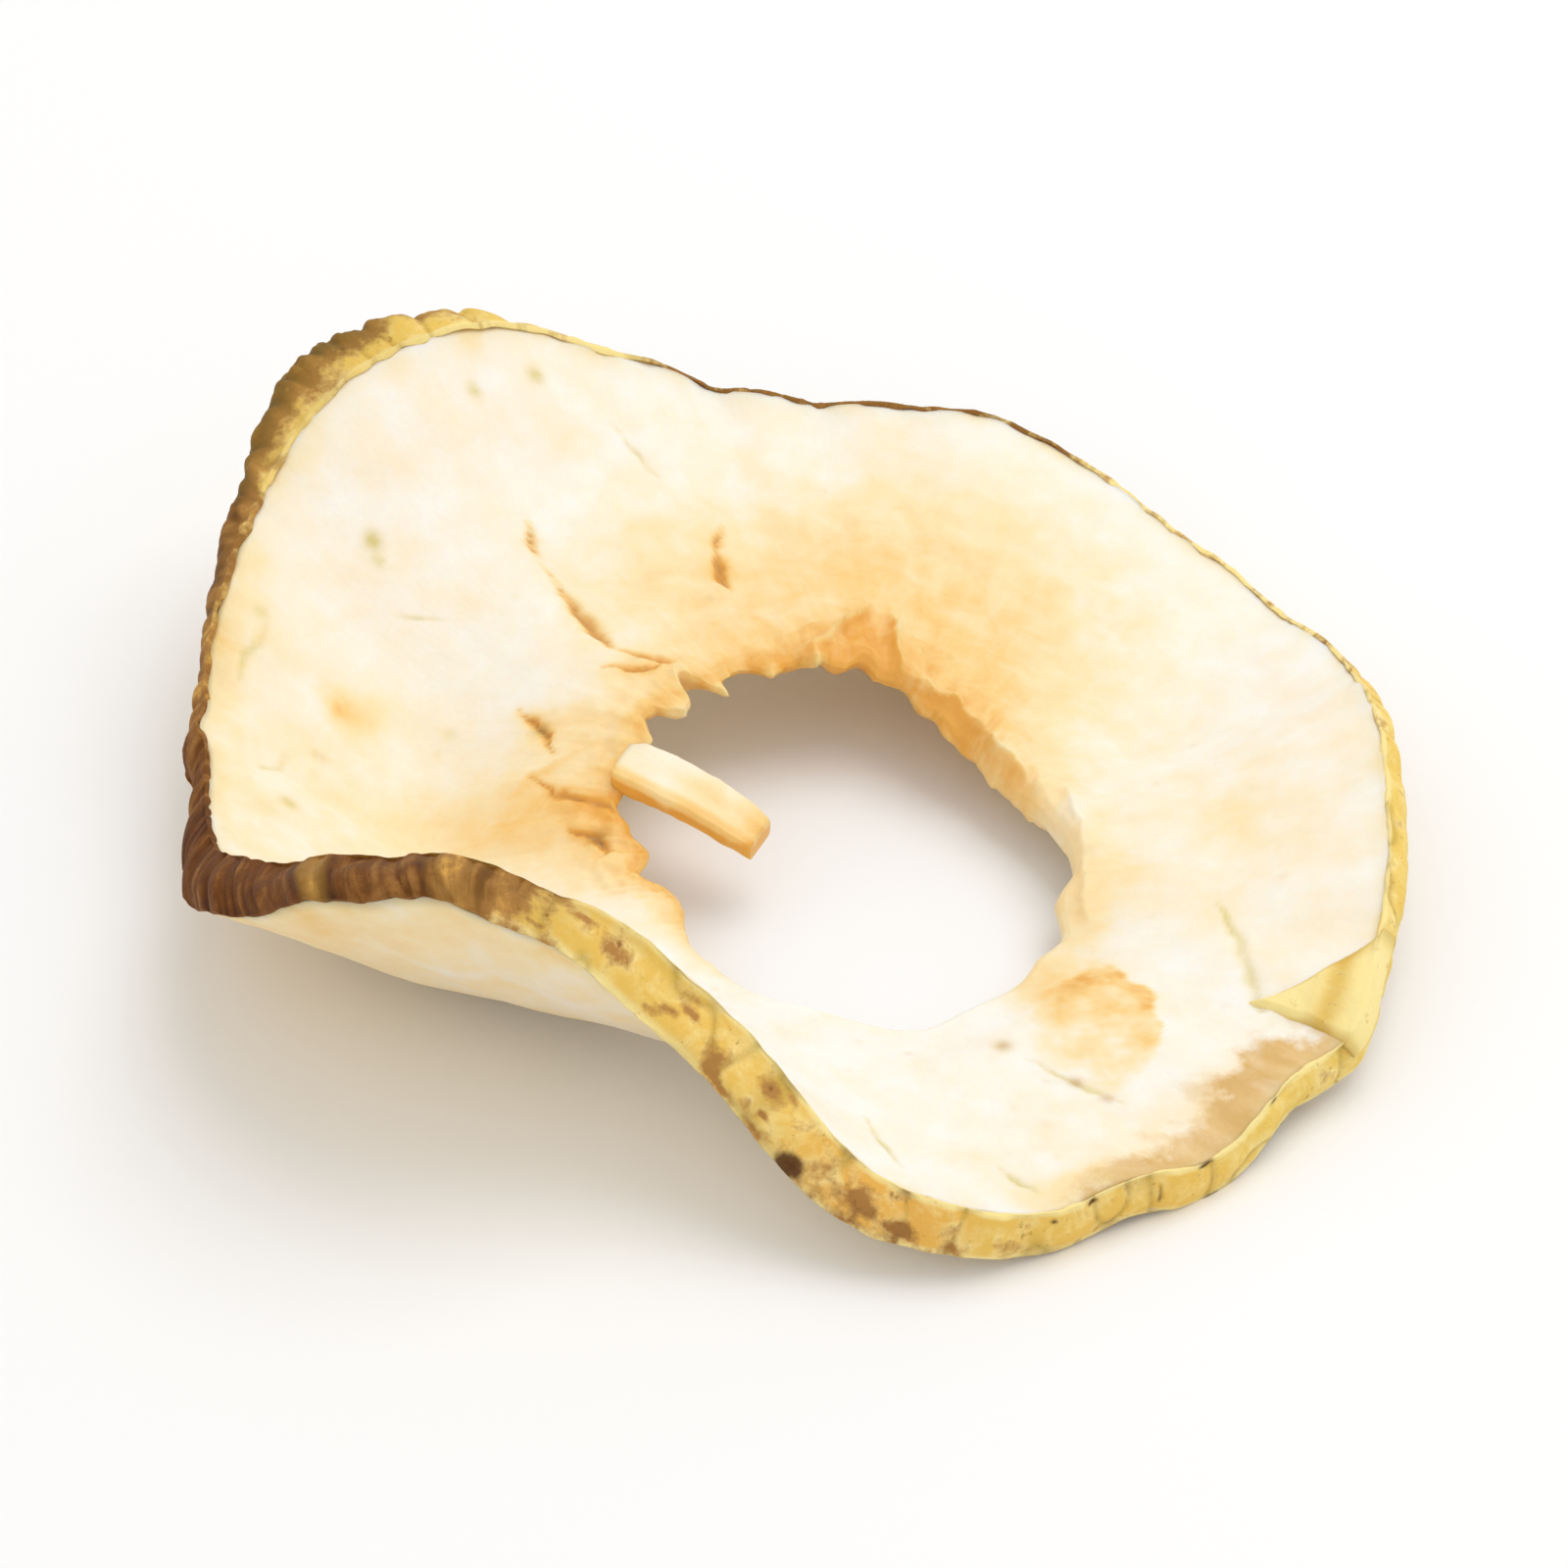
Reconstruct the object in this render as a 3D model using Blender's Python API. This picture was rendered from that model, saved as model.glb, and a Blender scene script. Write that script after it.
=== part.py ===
"""A cored slice of apple, dried until it curled: one solid in one piece.

The slice is first spun as a flat washer. Every point of the washer is then carried to its
place on the curled slice by three numbers:
    around   the bearing round the core, from +X towards +Y
    across   0 at the edge of the core hole and 1 where the flesh meets the skin
    through  -1 on the lower face and 1 on the upper face
A strip of core that stayed on the edge of the hole is fused to it. The slice rests on its
skin at the front right and at the back right, and on the belly of its broad left side.
Lengths are in metres, with +Z up.
"""

import math

import bmesh
import bpy
import numpy as np
from mathutils import Vector, noise

MM = 0.001

# Driving sizes
SLICE_RADIUS = 32.4 * MM
HOLE_RADIUS = 11.8 * MM
HOLE_CENTRE = (3.0 * MM, -5.0 * MM)
FLESH_THICKNESS = 2.3 * MM
HOLE_EDGE_THICKNESS = 1.3 * MM
SKIN_HEIGHT = 2.5 * MM
SKIN_BULGE = 0.4 * MM
SKIN_SLOPE = 0.35 * MM  # how much wider the lower face is cut than the upper one
FLAT_SPOT_DEPTH = 0.25 * MM  # how much of the lowest flesh the drying tray pressed flat

# The strip of core: its middle line, from inside the flesh to its loose end
STRIP_LINE = (
    (-9.4 * MM, -0.6 * MM, 3.5 * MM),
    (-6.3 * MM, -2.3 * MM, 3.5 * MM),
    (-3.8 * MM, -3.8 * MM, 2.7 * MM),
    (-1.2 * MM, -5.3 * MM, 1.6 * MM),
)
STRIP_WIDTH = 3.6 * MM
STRIP_THICKNESS = 1.3 * MM
STRIP_SIDE = (0.42, 0.90, 0.08)
STRIP_ROWS = 9

# The waves that give the slice its form: (bearing and spread in degrees, size)
RIM_BULGES = {
    "front right": (-47, 30, 2.9 * MM),
    "front": (-79, 11, 3.4 * MM),
    "front pinch": (-101, 14, -5.7 * MM),
    "left corner": (-150, 13, 1.2 * MM),
    "left": (178, 20, -0.8 * MM),
    "back left": (146, 13, 0.9 * MM),
    "back pinch": (88, 17, -3.0 * MM),
    "right pinch": (-4, 12, -0.8 * MM),
    "right": (-44, 11, 0.85 * MM),
    "right corner": (-34.5, 3.5, 0.7 * MM),
    "right notch": (-41, 3.5, -0.65 * MM),
    "right shoulder": (-54, 4, 0.5 * MM),
    "back left, top": (122, 9, 0.4 * MM),
    "left nib": (180, 1.8, 0.6 * MM),
    "left low": (-172, 8, -0.6 * MM),
}
RIM_LIFTS = {
    "front left curl": (-122, 20, 14.8 * MM),
    "left corner": (-158, 18, 2.0 * MM),
    "back left curl": (129, 22, 11.8 * MM),
    "left back": (168, 20, 2.2 * MM),
    "back": (72, 18, 4.6 * MM),
    "right": (2, 22, 3.5 * MM),
    "front right dip": (-62, 24, -1.4 * MM),
    "right back dip": (38, 17, -3.2 * MM),
    "front slope": (-93, 7, 0.8 * MM),
    "top of the front slope": (-106, 6, -0.45 * MM),
}
HOLE_BULGES = {
    "front": (-66, 34, 1.8 * MM),
    "front left": (-150, 20, -2.0 * MM),
    "back left": (118, 22, 0.6 * MM),
    "right back": (36, 16, -2.0 * MM),
}
HOLE_LIFTS = {
    "back left": (140, 34, 4.2 * MM),
    "back": (80, 26, 2.4 * MM),
    "right": (-2, 20, 1.0 * MM),
    "front": (-50, 40, -1.0 * MM),
}
BELLIES = {
    "left": (178, 30, 3.6 * MM),
    "right back": (22, 9, 1.6 * MM),
}
SKIN_HEIGHTS = {
    "front left": (-125, 28, 0.9 * MM),
    "back left": (142, 22, 0.5 * MM),
    "right": (-44, 14, -0.25 * MM),
}
SKIN_SLOPES = {
    "back left": (139, 8, 1.15 * MM),
    "front left": (-118, 24, 0.8 * MM),
    "left": (176, 16, -0.7 * MM),
    "front slope": (-92, 8, 0.25 * MM),
    "right": (-44, 14, -0.2 * MM),
}
CURL_POWER = 2.1

# Creases and ridges of the upper face: (bearing, spread, across, its spread, height)
FACE_RELIEF = {
    "membrane ridge": (42, 17, 0.07, 0.05, 1.1 * MM),
    "hollow behind it": (36, 12, 0.34, 0.12, -0.6 * MM),
    "ridge by the core": (2, 9, 0.06, 0.06, 0.6 * MM),
    "right lobe crease": (-24, 3, 0.80, 0.20, -0.5 * MM),
}

# Shrivelling: the waves round the rim and the hole, and the bumps of the flesh
PUCKERS = 23
PUCKER_HEIGHT = 0.28 * MM
BITES = 11
BITE_DEPTH = 0.45 * MM
BUMP_LENGTH = 8.0 * MM
BUMP_HEIGHT = 0.55 * MM

# How finely the washer is divided
STEPS_AROUND = 156
ROWS_ACROSS = 11
ROWS_OF_SKIN = 3


def bell(away, spread):
    return np.exp(-0.5 * (away / spread) ** 2)


def turned(around, bearing):
    """Degrees from a bearing, between -180 and 180."""
    return (np.degrees(around) - bearing + 180.0) % 360.0 - 180.0


def total(around, waves):
    sizes = [size * bell(turned(around, bearing), spread) for bearing, spread, size in waves.values()]
    return sum(sizes)


def ripple(around, count, seed):
    """An uneven ripple round the slice, about count waves long, between -1 and 1."""
    drift = 2.1 * np.sin(around * 2 + seed) + 1.3 * np.sin(around * 3 + 2 * seed)
    strength = 0.6 + 0.4 * np.sin(around * 5 + 3 * seed)
    return strength * np.sin(count * around + drift)


def bumps(plan, length, seed):
    """Smooth uneven bumps over the plan, between -1 and 1."""
    return np.array([noise.noise(Vector((x / length, y / length, seed))) for x, y in plan])


def middle(around, across):
    """The sheet half way through the slice."""
    inside = np.clip(across, 0, 1)
    rim_radius = SLICE_RADIUS + total(around, RIM_BULGES)
    hole_radius = HOLE_RADIUS + total(around, HOLE_BULGES) + BITE_DEPTH * ripple(around, BITES, 1.0)
    towards = np.stack([np.cos(around), np.sin(around)], axis=-1)
    rim = towards * rim_radius[..., None]
    hole = towards * hole_radius[..., None] + np.array(HOLE_CENTRE)
    plan = hole + (rim - hole) * across[..., None]
    height = total(around, HOLE_LIFTS) * (1 - inside)
    height = height + total(around, RIM_LIFTS) * np.clip(across, 0, None) ** CURL_POWER
    height = height - total(around, BELLIES) * np.sin(math.pi * inside) ** 2
    height = height + PUCKER_HEIGHT * ripple(around, PUCKERS, 4.0) * inside**3
    height = height + BUMP_HEIGHT * bumps(plan, BUMP_LENGTH, 3.0)
    return np.concatenate([plan, height[..., None]], axis=-1)


def upward(around, across):
    """The direction square to the sheet, on its upper side."""
    step = 1e-3
    along_ring = middle(around + step, across) - middle(around - step, across)
    outward = middle(around, across + step) - middle(around, across - step)
    up = np.cross(outward, along_ring)
    return up / np.linalg.norm(up, axis=-1, keepdims=True)


def half_thickness(around, across):
    """The flesh thins to the hole, and the skin stands a little above it."""
    flesh = np.interp(
        across,
        [0.0, 0.25, 0.8, 1.0],
        [HOLE_EDGE_THICKNESS, FLESH_THICKNESS, FLESH_THICKNESS, SKIN_HEIGHT],
    )
    near_skin = np.clip((across - 0.7) / 0.3, 0, 1)
    return (flesh + total(around, SKIN_HEIGHTS) * near_skin) / 2


def face_relief(around, across):
    height = np.zeros_like(around)
    for bearing, spread, place, its_spread, size in FACE_RELIEF.values():
        height += size * bell(turned(around, bearing), spread) * bell(across - place, its_spread)
    return height


def curled(points):
    """Carries washer points, at a radius of 1 + across and a height of through, to the slice."""
    around = np.arctan2(points[:, 1], points[:, 0])
    across = np.hypot(points[:, 0], points[:, 1]) - 1
    through = points[:, 2]
    beyond = np.clip(across - 1, 0, None)
    slope = (SKIN_SLOPE + total(around, SKIN_SLOPES)) / SKIN_SLOPE
    lower = (1 - through) / 2
    width = SLICE_RADIUS - HOLE_RADIUS
    across = across + (slope - 1) * lower * SKIN_SLOPE / width * (beyond > 0)
    sheet = middle(around, across)
    thick = half_thickness(around, across) * through
    thick = thick + face_relief(around, across) * np.clip(through, 0, 1)
    return sheet + upward(around, across) * thick[:, None]


def washer():
    """A flat ring, spun from the outline of its section."""
    width = SLICE_RADIUS - HOLE_RADIUS
    section = [(across, 1.0) for across in np.linspace(0.02, 1.0, ROWS_ACROSS)]
    for row in range(1, ROWS_OF_SKIN + 1):
        down = row / (ROWS_OF_SKIN + 1)
        out = SKIN_BULGE * math.sin(math.pi * down) + SKIN_SLOPE * down
        section.append((1.0 + out / width, 1.0 - 2.0 * down))
    lower_edge = 1.0 + SKIN_SLOPE / width
    section += [(across, -1.0) for across in np.linspace(lower_edge, 0.02, ROWS_ACROSS)]
    section.append((0.0, 0.0))

    mesh = bmesh.new()
    corners = [mesh.verts.new((1.0 + across, 0.0, through)) for across, through in section]
    outline = [mesh.edges.new(pair) for pair in zip(corners, corners[1:] + corners[:1])]
    bmesh.ops.spin(
        mesh,
        geom=corners + outline,
        cent=(0, 0, 0),
        axis=(0, 0, 1),
        angle=math.tau,
        steps=STEPS_AROUND,
        use_merge=True,
    )
    bmesh.ops.remove_doubles(mesh, verts=mesh.verts, dist=1e-5)
    bmesh.ops.recalc_face_normals(mesh, faces=mesh.faces)
    return mesh


def on_line(line, along):
    """A point on a smooth curve through the four points of a line, along from 0 to 1."""
    weights = [(1 - along) ** 3, 3 * along * (1 - along) ** 2, 3 * along**2 * (1 - along), along**3]
    return sum((Vector(point) * weight for point, weight in zip(line, weights)), Vector())


def core_strip():
    """A bent flat strip, swept along its line and closed at both ends."""
    mesh = bmesh.new()
    corners = [(-0.5, -0.25), (-0.3, -0.5), (0.3, -0.5), (0.5, -0.2), (0.4, 0.45), (-0.35, 0.5)]
    side = Vector(STRIP_SIDE)
    rows = []
    for row in range(STRIP_ROWS):
        along = row / (STRIP_ROWS - 1)
        narrowing = 1.0 - 0.25 * along**4
        spot = on_line(STRIP_LINE, along)
        rows.append([
            mesh.verts.new(
                spot
                + side * (across * STRIP_WIDTH * narrowing)
                + Vector((0, 0, up * STRIP_THICKNESS * narrowing))
            )
            for across, up in corners
        ])
    loops = [[mesh.edges.new(pair) for pair in zip(row, row[1:] + row[:1])] for row in rows]
    for one, next_one in zip(loops, loops[1:]):
        bmesh.ops.bridge_loops(mesh, edges=one + next_one)
    bmesh.ops.holes_fill(mesh, edges=loops[0] + loops[-1], sides=0)
    bmesh.ops.recalc_face_normals(mesh, faces=mesh.faces)
    return mesh


def as_object(mesh, name):
    data = bpy.data.meshes.new(name)
    mesh.to_mesh(data)
    mesh.free()
    piece = bpy.data.objects.new(name, data)
    bpy.context.scene.collection.objects.link(piece)
    return piece


def fuse(piece, others):
    """Joins other closed pieces to this one, and removes them."""
    helpers = bpy.data.collections.new("fused")
    for other in others:
        helpers.objects.link(other)
    union = piece.modifiers.new("fuse", "BOOLEAN")
    union.operation = "UNION"
    union.operand_type = "COLLECTION"
    union.collection = helpers
    union.solver = "EXACT"
    graph = bpy.context.evaluated_depsgraph_get()
    fused = bpy.data.meshes.new_from_object(piece.evaluated_get(graph))
    piece.modifiers.remove(union)
    piece.data = fused
    for other in others:
        bpy.data.objects.remove(other)
    bpy.data.collections.remove(helpers)


def rest_on_floor(piece):
    """Centres the slice over the origin, lowers it, and presses its lowest flesh flat."""
    places = np.array([vert.co for vert in piece.data.vertices])
    low = places.min(axis=0)
    high = places.max(axis=0)
    places[:, :2] -= (low[:2] + high[:2]) / 2
    places[:, 2] = np.clip(places[:, 2] - low[2] - FLAT_SPOT_DEPTH, 0, None)
    for vert, place in zip(piece.data.vertices, places):
        vert.co = place


def apple_slice():
    ring = washer()
    places = curled(np.array([vert.co for vert in ring.verts]))
    for vert, place in zip(ring.verts, places):
        vert.co = place
    piece = as_object(ring, "apple_slice")
    fuse(piece, [as_object(core_strip(), "core_strip")])
    rest_on_floor(piece)
    piece.data.shade_smooth()
    return piece


def flesh_material():
    material = bpy.data.materials.new("dried_apple_flesh")
    material.use_nodes = True
    shader = material.node_tree.nodes["Principled BSDF"]
    shader.inputs["Base Color"].default_value = (0.88, 0.70, 0.44, 1.0)
    shader.inputs["Roughness"].default_value = 0.6
    return material


def main():
    for old in list(bpy.data.objects):
        bpy.data.objects.remove(old)
    piece = apple_slice()
    piece.data.materials.append(flesh_material())


main()
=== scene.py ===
"""The looks of a dried apple slice, made round its packed solid.

The form of the slice is worked out here as it was for the solid, only finer. Every point of
it has a bearing round the core (around), a place from the hole to the skin (across, 0 to 1)
and a place from the lower to the upper face (through, -1 to 1). Lengths are in metres.
"""

import math

import bmesh
import bpy
import numpy as np
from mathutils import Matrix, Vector, noise


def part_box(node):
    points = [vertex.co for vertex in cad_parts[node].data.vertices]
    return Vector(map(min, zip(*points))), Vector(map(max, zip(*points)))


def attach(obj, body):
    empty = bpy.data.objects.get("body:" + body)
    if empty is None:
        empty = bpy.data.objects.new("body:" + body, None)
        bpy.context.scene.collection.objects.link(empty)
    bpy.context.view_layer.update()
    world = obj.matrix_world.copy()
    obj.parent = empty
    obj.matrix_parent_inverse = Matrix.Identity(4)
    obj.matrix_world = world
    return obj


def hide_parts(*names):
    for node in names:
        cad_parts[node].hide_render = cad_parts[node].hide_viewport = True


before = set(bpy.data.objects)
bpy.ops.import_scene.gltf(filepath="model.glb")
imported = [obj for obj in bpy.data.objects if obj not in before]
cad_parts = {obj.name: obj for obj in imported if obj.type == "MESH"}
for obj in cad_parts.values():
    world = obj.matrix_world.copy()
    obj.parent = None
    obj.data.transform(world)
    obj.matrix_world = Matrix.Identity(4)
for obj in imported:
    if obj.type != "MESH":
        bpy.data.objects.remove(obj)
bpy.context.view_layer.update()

bl_info = {
    "name": "Dried apple slice",
    "version": (1, 0, 0),
    "blender": (4, 5, 0),
    "location": "3D View > Sidebar > Apple slice",
    "description": "Makes the flesh, the skin and the core of a curled slice of dried apple",
    "category": "Add Mesh",
}

MM = 0.001

# The form of the solid: its driving sizes
SLICE_RADIUS = 32.4 * MM
HOLE_RADIUS = 11.8 * MM
HOLE_CENTRE = (3.0 * MM, -5.0 * MM)
WIDTH = SLICE_RADIUS - HOLE_RADIUS
MIDDLE_RADIUS = (HOLE_RADIUS + SLICE_RADIUS) / 2
FLESH_THICKNESS = 2.3 * MM
HOLE_EDGE_THICKNESS = 1.3 * MM
SKIN_HEIGHT = 2.5 * MM
SKIN_BULGE = 0.4 * MM
SKIN_SLOPE = 0.35 * MM
FLAT_SPOT_DEPTH = 0.25 * MM
STRIP_LINE = (
    (-8.5 * MM, -1.1 * MM, 3.7 * MM),
    (-6.1 * MM, -2.4 * MM, 3.4 * MM),
    (-3.8 * MM, -3.8 * MM, 2.7 * MM),
    (-1.2 * MM, -5.3 * MM, 1.6 * MM),
)
STRIP_WIDTH = 3.4 * MM
STRIP_THICKNESS = 1.3 * MM
STRIP_SIDE = (0.42, 0.90, 0.08)

# The form of the solid: its waves (bearing and spread in degrees, size)
RIM_BULGES = {
    "front right": (-47, 30, 2.9 * MM),
    "front": (-79, 11, 3.4 * MM),
    "front pinch": (-101, 14, -5.7 * MM),
    "left corner": (-150, 13, 1.2 * MM),
    "left": (178, 20, -0.8 * MM),
    "back left": (146, 13, 0.9 * MM),
    "back pinch": (88, 17, -3.0 * MM),
    "right pinch": (-4, 12, -0.8 * MM),
    "right": (-44, 11, 0.85 * MM),
    "right corner": (-34.5, 3.5, 0.7 * MM),
    "right notch": (-41, 3.5, -0.65 * MM),
    "right shoulder": (-54, 4, 0.5 * MM),
    "back left, top": (122, 9, 0.4 * MM),
    "left nib": (180, 1.8, 0.6 * MM),
    "left low": (-172, 8, -0.6 * MM),
}
RIM_LIFTS = {
    "front left curl": (-122, 20, 14.8 * MM),
    "left corner": (-158, 18, 2.0 * MM),
    "back left curl": (129, 22, 11.8 * MM),
    "left back": (168, 20, 2.2 * MM),
    "back": (72, 18, 4.6 * MM),
    "right": (2, 22, 3.5 * MM),
    "front right dip": (-62, 24, -1.4 * MM),
    "right back dip": (38, 17, -3.2 * MM),
    "front slope": (-93, 7, 0.8 * MM),
    "top of the front slope": (-106, 6, -0.45 * MM),
}
HOLE_BULGES = {
    "front": (-66, 34, 1.8 * MM),
    "front left": (-150, 20, -2.0 * MM),
    "back left": (118, 22, 0.6 * MM),
    "right back": (36, 16, -2.0 * MM),
}
HOLE_LIFTS = {
    "back left": (140, 34, 4.2 * MM),
    "back": (80, 26, 2.4 * MM),
    "right": (-2, 20, 1.0 * MM),
    "front": (-50, 40, -1.0 * MM),
}
BELLIES = {
    "left": (178, 30, 3.6 * MM),
    "right back": (22, 9, 1.6 * MM),
}
SKIN_HEIGHTS = {
    "front left": (-125, 28, 0.9 * MM),
    "back left": (142, 22, 0.5 * MM),
    "right": (-44, 14, -0.25 * MM),
}
SKIN_SLOPES = {
    "back left": (139, 8, 1.15 * MM),
    "front left": (-118, 24, 0.8 * MM),
    "left": (176, 16, -0.7 * MM),
    "front slope": (-92, 8, 0.25 * MM),
    "right": (-44, 14, -0.2 * MM),
}
CURL_POWER = 2.1
FACE_RELIEF = {
    "membrane ridge": (42, 17, 0.07, 0.05, 1.1 * MM),
    "hollow behind it": (36, 12, 0.34, 0.12, -0.6 * MM),
    "ridge by the core": (2, 9, 0.06, 0.06, 0.6 * MM),
    "right lobe crease": (-24, 3, 0.80, 0.20, -0.5 * MM),
}
PUCKERS = 23
PUCKER_HEIGHT = 0.28 * MM
BITES = 11
BITE_DEPTH = 0.45 * MM
BUMP_LENGTH = 8.0 * MM
BUMP_HEIGHT = 0.55 * MM


def widened(paths, factor):
    """Paths of (bearing, across, half width), with each half width times the factor."""
    return {
        name: [(bearing, across, factor * width) for bearing, across, width in path]
        for name, path in paths.items()
    }


# The flesh: how ragged the edge of the hole is (bearing, spread, share)
TATTERS = {
    "back": (112, 34, 0.9),
    "left": (178, 26, 0.65),
    "front left": (-146, 18, 0.35),
    "right back": (34, 26, 0.5),
    "right": (-18, 16, 0.2),
}
# Torn points of the hole's edge: (bearing, half width in degrees, how far in, how far up)
TEETH = {
    "left of the strip": (152.0, 6.0, 0.6 * MM, 0.2 * MM),
    "first": (137.0, 5.0, 1.3 * MM, -0.3 * MM),
    "hollow": (130.0, 3.4, -0.9 * MM, 0.2 * MM),
    "second": (124.5, 3.4, 1.0 * MM, 0.1 * MM),
    "beside it": (119.0, 2.0, 0.3 * MM, 0.2 * MM),
    "third": (108.0, 4.5, 0.5 * MM, 0.1 * MM),
    "back fold": (96.5, 4.0, 1.0 * MM, 0.7 * MM),
    "behind the ridge": (84.0, 4.0, -0.5 * MM, 0.2 * MM),
    "under the ridge": (57.0, 6.0, 0.5 * MM, 0.1 * MM),
    "below the strip": (-172.0, 6.0, 0.35 * MM, -0.3 * MM),
    "lower left": (-158.0, 7.0, 0.4 * MM, -0.1 * MM),
}
# Slits in the upper face, each a path of bearing, across and half width in millimetres
SLITS = widened({
    "long": (
        (128.6, 0.61, 0.05), (129.6, 0.57, 0.15), (130.4, 0.52, 0.03), (131.0, 0.46, 0.04),
        (131.6, 0.40, 0.12), (132.8, 0.33, 0.24), (133.9, 0.26, 0.20), (134.8, 0.20, 0.04),
        (133.0, 0.15, 0.10), (130.0, 0.10, 0.18),
    ),
    "short": (
        (103.6, 0.52, 0.04), (104.8, 0.47, 0.12), (106.0, 0.43, 0.07), (106.4, 0.38, 0.18),
        (107.2, 0.33, 0.20), (107.0, 0.28, 0.06),
    ),
    "left": ((152.6, 0.29, 0.04), (154.6, 0.24, 0.16), (157.4, 0.20, 0.17), (161.5, 0.17, 0.05)),
    "in the stain": ((168.0, 0.19, 0.04), (172.0, 0.12, 0.13), (176.0, 0.02, 0.16)),
    "lower left": ((-179.0, 0.13, 0.05), (-176.0, 0.09, 0.15), (-172.0, 0.06, 0.06)),
    "back left": ((140.0, 0.16, 0.04), (137.5, 0.12, 0.10), (133.0, 0.09, 0.12)),
}, MM)
SLIT_DEPTH = 2.4  # how many half widths deep a slit is
# Fine creases of the upper face, in the same way
CREASES = widened({
    "arc": ((150.0, 0.67, 0.04), (147.5, 0.62, 0.11), (145.0, 0.56, 0.04)),
    "stain": ((-60.5, 0.36, 0.04), (-58.5, 0.47, 0.12), (-56.5, 0.58, 0.12), (-55.0, 0.66, 0.04)),
    "back": ((112.0, 0.80, 0.05), (110.4, 0.73, 0.12), (109.0, 0.66, 0.05)),
    "lower left": ((-165.0, 0.55, 0.05), (-163.0, 0.43, 0.14), (-160.0, 0.30, 0.05)),
    "by the skin": ((171.0, 0.93, 0.05), (167.0, 0.91, 0.15), (162.0, 0.89, 0.05)),
    "by the corner": ((-176.0, 0.90, 0.05), (-179.0, 0.84, 0.13), (175.0, 0.80, 0.05)),
    "right lobe": (
        (-19.5, 0.49, 0.06), (-26.0, 0.56, 0.20), (-32.0, 0.65, 0.22), (-35.5, 0.72, 0.14),
    ),
    "front": ((-80.0, 0.84, 0.05), (-82.0, 0.72, 0.15), (-84.0, 0.60, 0.05)),
    "front right": ((-68.0, 0.92, 0.05), (-70.0, 0.84, 0.16), (-71.0, 0.76, 0.05)),
}, MM)
CREASE_DEPTH = 0.8  # in the same way
# Sharp folds that stand up from the upper face, steep on the side of the hole:
# (start, end, half width, height, how amber the steep side is, partly as painted shade)
FOLDS = {
    "back fin": ((96.5, 0.01), (81.5, 0.23), 0.55 * MM, 0.85 * MM, 0.12),
    "back line": ((78.0, 0.23), (75.5, 0.0), 0.45 * MM, 0.90 * MM, 0.40),
    "ridge": ((75.5, 0.01), (62.0, 0.035), 0.60 * MM, 0.80 * MM, 0.24),
    "ridge, its middle": ((66.0, 0.03), (44.0, 0.03), 0.60 * MM, 0.75 * MM, 0.30),
    "ridge, its end": ((48.0, 0.03), (24.0, 0.035), 0.60 * MM, 0.70 * MM, 0.34),
    "right edge": ((16.0, 0.09), (-6.0, 0.035), 0.70 * MM, 0.50 * MM, 0.05),
    "right edge goes on": ((-6.0, 0.035), (-24.0, 0.08), 0.60 * MM, 0.35 * MM, 0.03),
    "left of the stain": ((158.0, 0.10), (171.0, 0.24), 0.50 * MM, 0.20 * MM, 0.20),
}
# Lumps of core tissue that are left on the face: (bearing, spread, across, its spread, height)
TISSUE = {
    "below the strip": (-171, 9, 0.06, 0.05, 0.45 * MM),
    "lower left": (-154, 8, 0.05, 0.035, 0.30 * MM),
    "left of the strip": (158, 8, 0.05, 0.05, 0.25 * MM),
    "back left": (131, 7, 0.06, 0.05, 0.30 * MM),
    "back": (90, 12, 0.08, 0.08, 0.25 * MM),
    "end of the ridge": (21, 6, 0.03, 0.04, 0.50 * MM),
}
# Where the face is finely crumpled: (bearing, spread, across, its spread, strength)
CRUMPLED_PLACES = {"back right": (62, 20, 0.45, 0.30, 1.0)}
# Amber stains of the flesh, and painted shade where noted:
# (bearing, spread, across, its spread, strength)
STAINS = {
    "hole, back": (104, 36, 0.0, 0.10, 0.45),
    "hole, left": (162, 24, 0.0, 0.11, 0.24),
    "hole, front left": (-152, 22, 0.0, 0.05, 0.40),
    "hole, right back": (46, 30, 0.0, 0.14, 0.34),
    # painted shade in the valley beside the back fold
    "back valley, painted shade": (83.5, 2.6, 0.10, 0.07, 0.45),
    "hole, right": (-22, 14, 0.05, 0.09, 0.28),
    "left": (173.5, 3.0, 0.06, 0.08, 0.20),
    "left, its tail": (178, 9, 0.24, 0.17, 0.29),
    "left, faint": (-170, 26, 0.62, 0.30, 0.19),
    "top, faint": (122, 20, 0.90, 0.15, 0.08),
    "front, faint": (-82, 14, 0.45, 0.40, 0.03),
    "lobe, faint": (-60, 14, 0.72, 0.26, 0.07),
    "left, lower": (-171, 10, 0.08, 0.10, 0.20),
    "left of the hole": (156, 5, 0.17, 0.07, 0.22),
    "spot on the left": (165.5, 1.6, 0.70, 0.030, 0.40),
    "beside it": (163.5, 2.0, 0.64, 0.030, 0.22),
    "back": (92, 20, 0.32, 0.20, 0.22),
    "right of the slit": (118, 12, 0.30, 0.16, 0.22),
    # partly browning, partly a painted shadow of a ring that lay over this part
    "back right": (64, 24, 0.36, 0.30, 0.40),
    "left edge": (167, 9, 0.98, 0.06, 0.30),
    "lower left edge": (-138, 22, 0.97, 0.10, 0.14),
    "right lobe": (-44, 6, 0.15, 0.14, 0.38),
    "by the right skin": (-63, 5, 0.92, 0.05, 0.25),
    "beside the beige": (-46, 9, 0.84, 0.06, 0.14),
    "spot on the left, its top": (166.2, 0.8, 0.715, 0.013, 0.35),
    # painted shadow of a ring that lay over the right lobe
    "painted shadow of a ring above": (-8, 14, 0.55, 0.35, 0.18),
}
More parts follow.
